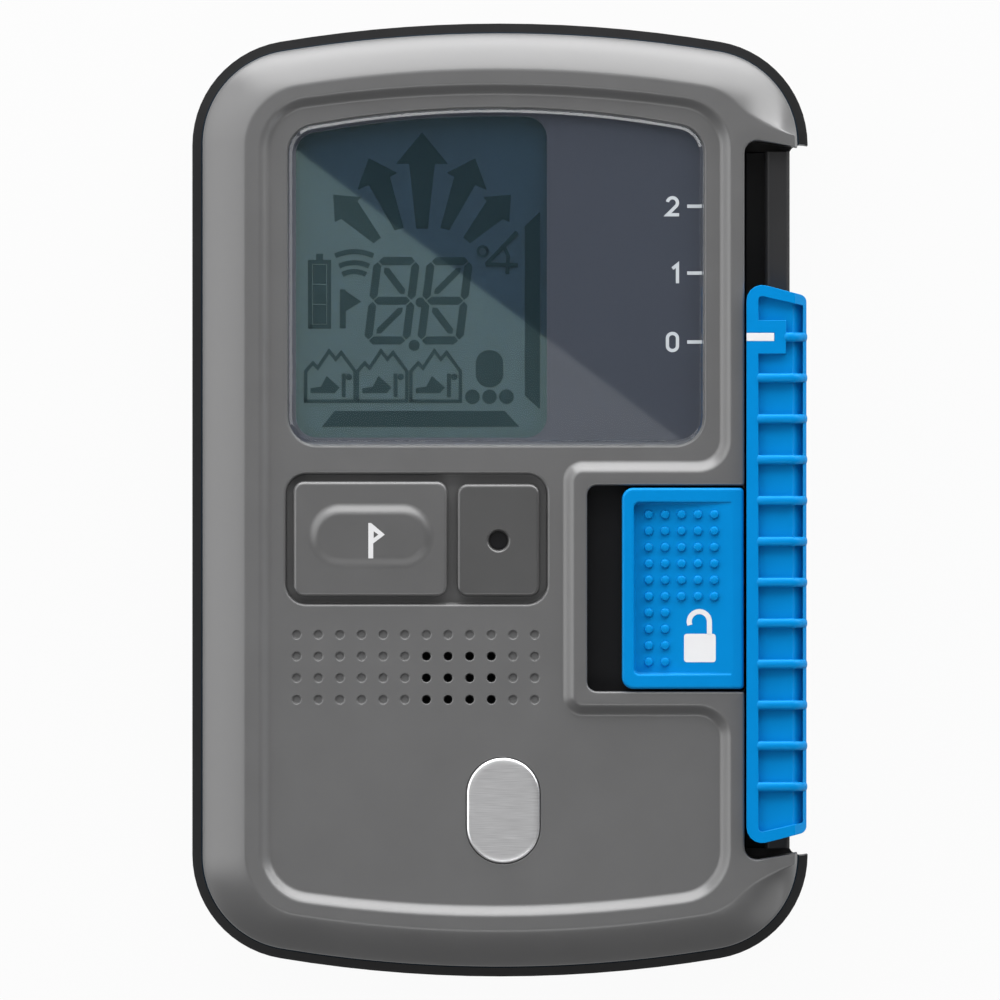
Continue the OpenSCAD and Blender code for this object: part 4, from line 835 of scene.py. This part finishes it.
def stroke(points, width):
    """The two sides of a line of even width: each point moved half the width along its mitre."""
    places = np.asarray(points, float) @ (1, 1j)
    way = np.diff(places)
    way /= abs(way)
    near = np.append(way[:1], way)
    mean = near + np.append(way, way[-1:])
    mean /= abs(mean)
    side = 1j * mean * width / 2 / (mean * near.conj()).real
    return as_points(places + side), as_points(places - side)


def numeral(number, right, y):
    """The stroke of a plain 0, 1 or 2, about 2.5 mm high, with its right edge and its middle given."""
    half_w, half_h, tail = 0.62, 1.05, 0.2
    x = right - half_w - tail
    if number == 0:
        ring = outline(box_corners(x - half_w, x + half_w, y - half_h, y + half_h, half_w - 0.02), 0, 8)
        return np.vstack([ring, ring[:2]])
    if number == 1:
        return [(x, y + half_h - 0.5), (x + half_w, y + half_h), (x + half_w, y - half_h - tail)]
    top = arc(x, y + half_h - half_w, half_w, math.radians(170), math.radians(-35), 13)
    return np.vstack([top, [[x - half_w, y - half_h], [x + half_w + tail, y - half_h]]])


TICK_X = (23.1, 24.6)
TICK_Y = (19.5, 28.0, 36.25)
TICK_W = 0.42
NUMERAL_W = 0.4
NUMERAL_GAP = 1.0


def make_switch_marks():
    """A tick and a number at each of the slider's three positions, printed under the window."""
    lines = []
    for number, y in enumerate(TICK_Y):
        lines.append(([(x, y) for x in TICK_X], TICK_W))
        lines.append((numeral(number, TICK_X[0] - NUMERAL_GAP, y), NUMERAL_W))
    flat_marks("position_marks", [], lines, PRINT_Z + PRINT_LIFT, printed_grey, "case")


DISPLAY_R = 0.6


def make_display():
    """The display's face behind its opening, and its dark segments."""
    face_z = lcd_high[2] + PRINT_LIFT
    face = Shape().fill(loop_at(box_corners(*footprint(lcd_low, lcd_high), DISPLAY_R), 0, face_z))
    face.build("display_face", lcd_film, "case")
    middle = -9.63
    half_arrow = np.array([(0.7, 33.5), (1.6, 41.5), (3.2, 41.5), (0, 45.4)])
    arrow = [(middle + x, y) for x, y in half_arrow] + [(middle - x, y) for x, y in half_arrow[2::-1]]
    second = [(-16.2, 42.2), (-17.6, 38.3), (-16.2, 38.9), (-13.0, 33.3), (-11.9, 33.6), (-13.6, 39.9),
              (-12.7, 40.4)]
    outer = [(-20.6, 37.7), (-20.4, 34.3), (-19.6, 34.7), (-15.6, 31.7), (-14.7, 32.4), (-17.6, 36.9),
             (-17.2, 37.4)]
    areas = [arrow, second, outer]
    areas += [[(2 * middle - x, y) for x, y in loop][::-1] for loop in (second, outer)]

    # Battery gauge, search waves, flag and two large figures
    lines = [([(-23.45, 21.4), (-21.1, 21.4), (-21.1, 29.4), (-23.45, 29.4), (-23.45, 21.15)], 0.5)]
    areas += [box_loop(-23.1, -21.45, y, y + 2.35) for y in (21.75, 24.22, 26.69)]
    areas.append(box_loop(-22.7, -21.85, 29.65, 30.4))
    for r, half in ((5.57, 25), (4.2, 26), (3.1, 28)):
        lines.append((arc(-18.0, 25.1, r, math.radians(90 + half), math.radians(90 - half), 11), 0.62))
    lines.append(([(-19.4, 21.2), (-19.4, 26.0)], 0.72))
    areas.append([(-19.05, 25.8), (-19.05, 23.3), (-17.15, 24.5)])
    areas += figure(-16.3, 19.7, 1) + figure(-9.75, 19.7, -1)
    areas += [circle(-9.84, 24.4, 0.6, 20), circle(-10.6, 19.1, 0.68, 20)]

    # Incline sign, three slope pictograms, pill, dots and the two side bars
    ring = circle(-2.15, 30.7, 0.6, 17)
    lines += [([(-1.8, 29.1), (2.2, 29.0)], 0.5), ([(-1.7, 29.1), (2.1, 33.1)], 0.5),
              ([(0.3, 31.6), (1.0, 30.2), (0.9, 27.9)], 0.45), (np.vstack([ring, ring[:2]]), 0.32)]
    slope = np.array([(0, 12.2), (0, 15.9), (0.9, 16.9), (1.5, 16.3), (2.9, 18.4), (3.7, 17.4), (4.4, 18.2),
                      (6.1, 15.9), (6.1, 12.2), (-0.2, 12.2)])
    mound = np.array([(0.6, 13.2), (3.6, 13.2), (4.2, 13.9), (2.6, 15.3), (1.9, 14.0), (0.6, 13.8)])
    for x in (-24.0, -17.6, -11.0):
        lines += [(slope + (x, 0), 0.42), ([(x + 4.7, 12.7), (x + 4.7, 15.6)], 0.5)]
        areas += [mound + (x, 0), circle(x + 5.35, 15.2, 0.4, 12)]
    areas.append(outline(box_corners(-3.0, 0.4, 13.9, 18.5, 1.65), 0, 8))
    areas += [circle(x, 12.75, 0.9, 20) for x in (-3.4, -1.3, 0.8)]
    areas.append([(-22.0, 9.04), (2.4, 9.04), (0.56, 11.0), (-20.4, 11.0)])
    areas.append([(3.07, 33.8), (3.07, 12.9), (4.93, 11.2), (4.93, 35.6)])
    flat_marks("display_segments", areas, lines, face_z + PRINT_LIFT, lcd_ink, "case")


def box_loop(x0, x1, y0, y1):
    """A plain rectangle as a loop."""
    return [(x0, y0), (x1, y0), (x1, y1), (x0, y1)]


def figure(x, y, lean, width=4.7, height=9.8, bar=1.0, gap=0.12, slant=0.125):
    """The nine slanted bars of a display figure: seven as on a clock, and two diagonals that lean by sign."""
    half = height / 2

    def bar_loop(start, end, wide):
        start, end = np.array(start, float), np.array(end, float)
        way = unit(end - start)
        side = np.array([-way[1], way[0]]) * wide / 2
        a, b = start + way * gap, end - way * gap
        nose = way * wide / 2
        loop = np.array([a, a + nose - side, b - nose - side, b, b - nose + side, a + nose + side])
        return np.column_stack([x + loop[:, 0] + slant * loop[:, 1], y + loop[:, 1]])

    made = [bar_loop((0, level), (width, level), bar) for level in (0, half, height)]
    made += [bar_loop((side, low), (side, low + half), bar) for side in (0, width) for low in (0, half)]
    reach, clear, thin = 1.5, 0.75, 0.8
    for low, sign in ((0, -lean), (half, lean)):
        top = (width / 2 - sign * reach, low + half - clear)
        foot = (width / 2 + sign * reach, low + clear)
        made.append(bar_loop(top, foot, bar * thin))
    return made


# Keys


def rounded_edge(z0, z1, edge_r, foot=0.2):
    """A plate's side from its foot up: slight foot round, upright wall, quarter round, level edge."""
    a = np.linspace(0, np.pi / 2, 6)
    side = zip(-edge_r * (1 - np.cos(a)), z1 - edge_r * (1 - np.sin(a)))
    return [(-foot, z0), (0, z0 + foot), *side, (-edge_r - FLAT, z1)]


KEY_CORNER_R = 1.3
KEY_EDGE_R = 0.45
KEY_DEPTH = 1.1
KEY_STEPS = 8
PAD = (-23.75, -8.05, -8.54, -0.36)
PAD_R = 4.06
PAD_SLOPE = 1.55
PAD_LOW = 0.2
PAD_STEPS = 24
FLAG_LIFT = 0.025
PIPE_STEPS = 32
# The light pipe's seat as (radius, depth)
PIPE_SEAT = ((1.5 + FLAT, 0), (1.5, 0), (1.42, 0.03), (1.25, 0.2), (1.15, 0.5), (1.15, 1.2))


def pad_height(y):
    """Height of the mark button's pad, which leans: full at its upper edge and a fifth at its lower edge."""
    share = PAD_LOW + (1 - PAD_LOW) * (np.asarray(y, float) - PAD[2]) / (PAD[3] - PAD[2])
    return (mark_high[2] - plate_high[2]) * share


def make_mark_button():
    """The mark button with its raised pad and its flag."""
    plate_z = plate_high[2]
    edge = rounded_edge(plate_z - KEY_DEPTH, plate_z, KEY_EDGE_R)
    corners = box_corners(*footprint(mark_low, mark_high), KEY_CORNER_R)
    pad = box_corners(*PAD, PAD_R)
    rows = [loop_at(pad, FLAT, plate_z, PAD_STEPS)]
    for t in np.linspace(0, 1, 12):
        line = outline(pad, -PAD_SLOPE * t, PAD_STEPS)
        rows.append(at_height(line, plate_z + pad_height(line[:, 1]) * t * t * (3 - 2 * t)))
    line = outline(pad, -PAD_SLOPE - FLAT, PAD_STEPS)
    rows.append(at_height(line, plate_z + pad_height(line[:, 1])))
    button = Shape().band(corners, edge, KEY_STEPS).grid(rows)
    button.fill(loop_at(corners, *edge[-1], KEY_STEPS), rows[0])
    button.fill(rows[-1])
    button.fill(loop_at(corners, *edge[0], KEY_STEPS))
    piece = button.build("mark_button_cap", key_grey, "mark")
    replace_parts(piece, "mark_button")

    # The flag: pole and pennant in one piece, with a small hole
    flag = np.array([(-16.24, -7.2), (-15.64, -7.2), (-15.64, -5.35), (-14.2, -4.27), (-15.9, -2.84),
                     (-16.24, -2.84)])
    hole = np.array([(-15.58, -3.85), (-15.58, -4.7), (-15.0, -4.27)])
    loops = [at_height(loop, plate_z + pad_height(loop[:, 1]) + FLAG_LIFT) for loop in (flag, hole)]
    Shape().fill(*loops).build("mark_flag", printed_white, "mark")


def make_light_plate():
    """The light plate with the seat of its light pipe."""
    plate_z = plate_high[2]
    edge = rounded_edge(plate_low[2], plate_z, KEY_EDGE_R)
    corners = box_corners(*footprint(plate_low, plate_high), KEY_CORNER_R)
    x, y = (pipe_low[:2] + pipe_high[:2]) / 2
    rows = turned(x, y, [(r, plate_z - depth) for r, depth in PIPE_SEAT], PIPE_STEPS)
    plate = Shape().band(corners, edge, KEY_STEPS).grid(rows)
    plate.fill(loop_at(corners, *edge[-1], KEY_STEPS), rows[0])
    piece = plate.build("light_plate_cap", plate_grey, "case")
    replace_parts(piece, "light_plate")


def make_inlay():
    """The crowned silver inlay."""
    z0, z1 = inlay_low[2], inlay_high[2]
    corners = inlay_corners()
    profile = [(-0.1, z0), (0, z0 + 0.1), (0, z1 - 0.2), (-0.1, z1 - 0.08), (-0.35, z1 - 0.02), (-0.8, z1),
               (-0.8 - FLAT, z1)]
    shape = Shape().band(corners, profile, OVAL_STEPS).fill(loop_at(corners, *profile[-1], OVAL_STEPS))
    piece = shape.build("inlay_oval", inlay_silver, "case")
    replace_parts(piece, "oval_inlay")


# Lock button


LOCK_SKIRT = 2.3
LOCK_CORNER_R = 1.4
LOCK_END_R = 0.5
LOCK_EDGE_R = 0.35
LOCK_FOOT = 0.1
LOCK_STEPS = 8
DISH = (lock_low[0] + 1.5, lock_high[0] - 1.3, lock_low[1] + 1.8, lock_high[1] - 1.8)
DISH_DEPTH = 1.5
DISH_WALL = 0.5
DISH_CORNER_R = 0.7
DISH_END_R = 0.3
DISH_EDGE_R = 0.25
DISH_FOOT_R = 0.3
DOT_COLUMNS = 5
DOT_ROWS = 10
DOT_FULL_ROWS = 6
DOT_SIDE_COLUMNS = 2
DOT_START = (DISH[0] + 1.8, DISH[3] - 1.5)
DOT_PITCH = 2.02
DOT_R = 0.56
DOT_RISE = 0.45
DOT_STEPS = 16
# A grip dot's crown, as shares of its radius and its rise
DOT_CROWN = ((1.1, -5 / 18), (1.0, 5 / 18), (0.97, 11 / 18), (0.86, 11 / 12), (0.7, 1.0), (0.0, 1.0))


def dish_height(x):
    """Height of the lock's thumb dish: it rises evenly from its left wall until it is level with the top."""
    share = np.clip((np.asarray(x, float) - DISH[0] - DISH_WALL) / (DISH[1] - DISH[0] - DISH_WALL), 0, 1)
    return lock_high[2] - DISH_DEPTH * (1 - share)


def make_lock():
    """The lock button: rounded frame and sloped thumb dish."""
    z0, z1 = lock_low[2] + LOCK_SKIRT, lock_high[2]
    corners = box_corners(*footprint(lock_low, lock_high), LOCK_CORNER_R, LOCK_END_R)
    dish = box_corners(*DISH, DISH_CORNER_R, DISH_END_R)
    edge = rounded_edge(z0, z1, LOCK_EDGE_R, LOCK_FOOT)
    shape = Shape().band(corners, edge, LOCK_STEPS).fill(loop_at(corners, *edge[0], LOCK_STEPS))
    rows = [loop_at(dish, DISH_EDGE_R + lap, z1, LOCK_STEPS) for lap in (FLAT, 0)]
    shape.fill(loop_at(corners, *edge[-1], LOCK_STEPS), rows[0])
    quarter = np.linspace(0, np.pi / 2, 6)
    for a in quarter[1:]:
        line = outline(dish, DISH_EDGE_R * (1 - math.sin(a)), LOCK_STEPS)
        drop = np.minimum(DISH_EDGE_R, (z1 - dish_height(line[:, 0])) / 2)
        rows.append(at_height(line, z1 - drop * (1 - math.cos(a))))
    for a in quarter:
        line = outline(dish, -DISH_FOOT_R * (1 - math.cos(a)), LOCK_STEPS)
        floor = dish_height(line[:, 0])
        lift = np.minimum(DISH_FOOT_R, (z1 - floor) / 2)
        rows.append(at_height(line, floor + lift * (1 - math.sin(a))))
    shape.grid(rows).fill(rows[-1])
    piece = shape.build("lock_button_cap", signal_blue, "lock", crease=50)
    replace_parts(piece, "lock_button")


def make_lock_marks():
    """Grip dots, five columns in the dish's upper part and two beside the padlock mark, and that mark."""
    column, row = np.indices((DOT_COLUMNS, DOT_ROWS)).reshape(2, -1)
    keep = (row < DOT_FULL_ROWS) | (column < DOT_SIDE_COLUMNS)
    dots = Shape()
    for i, j in zip(column[keep], row[keep]):
        x, y = DOT_START[0] + i * DOT_PITCH, DOT_START[1] - j * DOT_PITCH
        base = dish_height(x)
        dots.grid(turned(x, y, [(DOT_R * wide, base + DOT_RISE * up) for wide, up in DOT_CROWN], DOT_STEPS))
    dots.build("lock_grip_dots", signal_blue, "lock", crease=60)

    shackle_x, shackle_y, shackle_r, shackle_w = 24.58, -15.0, 1.24, 0.62
    shackle = arc(shackle_x, shackle_y, shackle_r, math.radians(200), 0, 19)
    sides = stroke(np.vstack([shackle, [[shackle_x + shackle_r, -16.6]]]), shackle_w)
    body = outline(box_corners(22.7, 26.6, -20.0, -16.5, 0.35), 0, 5)
    body, *sides = [at_height(line, dish_height(line[:, 0]) + PRINT_LIFT) for line in (body, *sides)]
    mark = Shape().fill(body).grid(sides, closed=False)
    mark.build("lock_padlock_mark", printed_white, "lock")


# Slider


SLIDE_FRAME = 1.45
SLIDE_CHAMFER = 1.6
RIB_T = 1.1
RIB_RISE = 0.26
RIB_SINK = 0.04
RIB_COUNT = 12
RIB_FIRST = 6.94
POINTER_BLOCK = 4.85


def make_rib_caps():
    """A rounded cap on each finger rib: a half ellipse across it, along its level top and its chamfer.

    Across the rib the cap's height over its path is RIB_RISE sin a, and its place is half the rib's width
    times cos a. It sinks into the rib at both ends.
    """
    z = slide_high[2]
    x1 = slide_high[0]
    corner = x1 - 0.9 * SLIDE_CHAMFER
    a = np.linspace(0, np.pi, 11)
    first = slide_low[1] + RIB_FIRST
    last = (pointer_low[1] + pointer_high[1]) / 2
    caps = Shape()
    for y in np.linspace(first, last, RIB_COUNT):
        x0 = slide_low[0] + (POINTER_BLOCK if y == last else SLIDE_FRAME)
        path = np.array([(x0 - 0.2, z - 0.3), (x0 + 0.1, z), (corner - 0.5, z), (corner + 0.1, z - 0.15),
                         (x1 - 0.25, z - SLIDE_CHAMFER + 0.3), (x1 - 0.1, z - SLIDE_CHAMFER - 0.4)])
        step = np.gradient(path, axis=0)
        up = np.column_stack([-step[:, 1], step[:, 0]]) / np.hypot(*step.T)[:, None]
        places = path[:, None, :] + up[:, None, :] * (RIB_RISE * np.sin(a) - RIB_SINK)[None, :, None]
        across = np.broadcast_to(y + RIB_T / 2 * np.cos(a), places.shape[:2])
        caps.grid(np.stack([places[..., 0], across, places[..., 1]], -1), closed=False)
    caps.build("slider_rib_caps", signal_blue, "slider", crease=60)


# Other pieces that keep their CAD shape


def dress_nodes():
    """Rounded copies of the slider, its rail and the door, the lock's spring, and finishes for the rest."""
    for node, material, body, slot, bevel in (
            ("mode_slider", signal_blue, "slider", "signal_blue", 0.3),
            ("slide_rail", rail_black, "case", "rail_black", 0.15),
            ("slider_pointer", printed_white, "slider", "pointer_white", 0.05),
            ("battery_door", shell_black, "door", "shell_black", 0.1),
            ("slider_carriage", rail_black, "slider", "rail_black", 0.1)):
        dressed_copy(node, material, body, bevel)
    # The spring reaches from the case on its left to the lock on its right; its copy rides on no body, with
    # its place baked into its points.
    spring = dressed_copy("lock_spring", steel, None, 0)
    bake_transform(spring)
    finishes = (
        (seal_rubber, "case_seal door_seal key_membrane"), (mesh_cloth, "speaker_mesh"),
        (white_plastic, "light_guide lcd_frame switch_plunger"), (lcd_film, "lcd_panel"),
        (smoked_acrylic, "light_pipe"),
        (rail_black, "mark_switch buzzer lock_clip battery_tray"), (board_green, "main_board"),
        (ferrite, "long_antenna_rod cross_antenna_rod upright_antenna_core"),
        (copper, "long_antenna_coil cross_antenna_coil upright_antenna_coil"),
        (cell_jacket, "battery_1 battery_2 battery_3"), (brass, "door_inserts case_inserts"),
        (steel, "slider_magnet detent_spring radio_shield board_screws contact_springs contact_plates"),
        (steel, "door_screw_upper door_screw_lower case_screws lanyard_bar"))
    for material, nodes in finishes:
        for node in nodes.split():
            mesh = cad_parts[node].data
            mesh.materials.clear()
            mesh.materials.append(material)


# Stage


FLOOR_GAP = 0.0002
FLOOR_STEPS = 96
FLOOR_GLOW = (("Is Camera Ray", 0.95), ("Is Transmission Ray", 0.9), ("Is Glossy Ray", 0.2))
WORLD_STRENGTH = 0.155
CAMERA_Z = 3.0
CAMERA_REACH = 20
SENSOR_W = 36
PICTURE_W = 123.82

# Lamps in metres: name, place, height of the point of the Z axis that it faces, width, height and radiance
LAMPS = (("head panel", (0.0, 0.75, 0.4), 0.3, 1.2, 0.78, 4.8),
         ("head strip", (0.0, 0.75, 0.09), 0.06, 1.6, 0.16, 4.0),
         ("right head panel", (0.62, 0.43, 0.3), 0.2, 0.45, 0.5, 4.2),
         ("right foot panel", (0.62, -0.5, 0.25), 0.15, 0.35, 0.35, 1.0),
         ("left panel", (-0.75, 0.18, 0.55), 0.3, 0.95, 0.9, 2.15),
         ("left strip", (-0.8, 0.05, 0.08), 0.06, 1.2, 0.14, 0.8),
         ("right strip", (0.8, -0.05, 0.06), 0.06, 1.3, 0.1, 2.2),
         ("foot panel", (0.1, -0.8, 0.35), 0.25, 0.9, 0.5, 0.06),
         ("high foot panel", (0.05, -0.5, 0.85), 0.02, 0.8, 0.35, 2.1),
         ("top panel", (-0.1, 0.5, 1.0), 0.02, 0.7, 0.5, 1.1))
CARD_Z = 1.0
CARD_SIZE = (0.2, 0.11)
CARD_RADIANCE = 0.6
CARD_EDGE = ((-25.1, 43.2), (21.9, 7.8))


def compute(tree, operation, first, second):
    """The result of an operation on two numbers of a material."""
    node = add_node(tree, "Math", {0: first, 1: second})
    node.operation = operation
    return node.outputs[0]


def make_floor():
    """A pale round floor that sweeps up to a backdrop, and glows for the rays that see it."""
    turn = np.linspace(0, np.pi / 2, 9)
    section = np.vstack([[[0.01, 0], [1.5, 0], [3.0, 0]],
                         np.column_stack([5 + np.sin(turn), 1 - np.cos(turn)]), [[6.0, 4.0]]])
    rows = np.array(turned(0, 0, section - (0, FLOOR_GAP), FLOOR_STEPS)) / MM
    material, tree, shader, _ = new_material("floor white")
    feed(tree, shader, {"Base Color": (0.38, 0.38, 0.38, 1), "Roughness": 0.9})
    glow = add_node(tree, "Emission", {"Strength": 1.0})
    path = add_node(tree, "LightPath", {})
    share = 0.0
    for kind, part in FLOOR_GLOW:
        share = compute(tree, "MAXIMUM", share, compute(tree, "MULTIPLY", path.outputs[kind], part))
    mix_shaders(tree, share, shader, glow)
    Shape().grid(rows).fill(rows[0]).build("floor", material, None)


def add_lamp(name, place, turn, wide, high, radiance):
    """A rectangular lamp of even radiance, which the camera does not see."""
    light = bpy.data.lights.new(name, "AREA")
    light.shape = "RECTANGLE"
    light.size, light.size_y = wide, high
    light.energy = radiance * math.pi * wide * high
    holder = link_object(name, light)
    holder.location = place
    holder.rotation_euler = turn
    holder.visible_camera = False


def make_lights():
    """Even surroundings, soft panels, and a small card whose mirror image crosses the window on a slant."""
    world = bpy.data.worlds.new("studio")
    world.use_nodes = True
    feed(world.node_tree, world.node_tree.nodes["Background"],
         {"Color": (1, 1, 1, 1), "Strength": WORLD_STRENGTH})
    scene.world = world
    for name, place, aim_z, *rest in LAMPS:
        way = Vector(np.subtract((0, 0, aim_z), place))
        add_lamp(name, place, way.to_track_quat("-Z", "Y").to_euler(), *rest)

    window_z = lens_high[2] * MM
    ends = np.array(CARD_EDGE) * MM * (1 + (CARD_Z - window_z) / (CAMERA_Z - window_z))
    along = unit(ends[1] - ends[0])
    centre = ends.mean(0) - np.array([along[1], -along[0]]) * np.sign(along[1]) * CARD_SIZE[1] / 2
    turn = (0, 0, math.atan2(along[1], along[0]))
    add_lamp("slant card", (*centre, CARD_Z), turn, *CARD_SIZE, CARD_RADIANCE)


def make_camera():
    """A camera straight above, whose picture is PICTURE_W wide at the seam of the case."""
    camera = bpy.data.cameras.new("camera")
    holder = link_object("camera", camera)
    camera.sensor_width = SENSOR_W
    camera.lens = SENSOR_W * (CAMERA_Z - SEAM_Z * MM) / (PICTURE_W * MM)
    holder.location = (0, 0, CAMERA_Z)
    camera.clip_end = CAMERA_REACH
    scene.camera = holder
    scene.view_settings.view_transform = "Standard"


make_floor()
make_lights()
make_camera()
make_front_shell()
make_rear_shell()
make_window()
make_switch_marks()
make_display()
make_mark_button()
make_light_plate()
make_inlay()
make_lock()
make_lock_marks()
make_rib_caps()
dress_nodes()
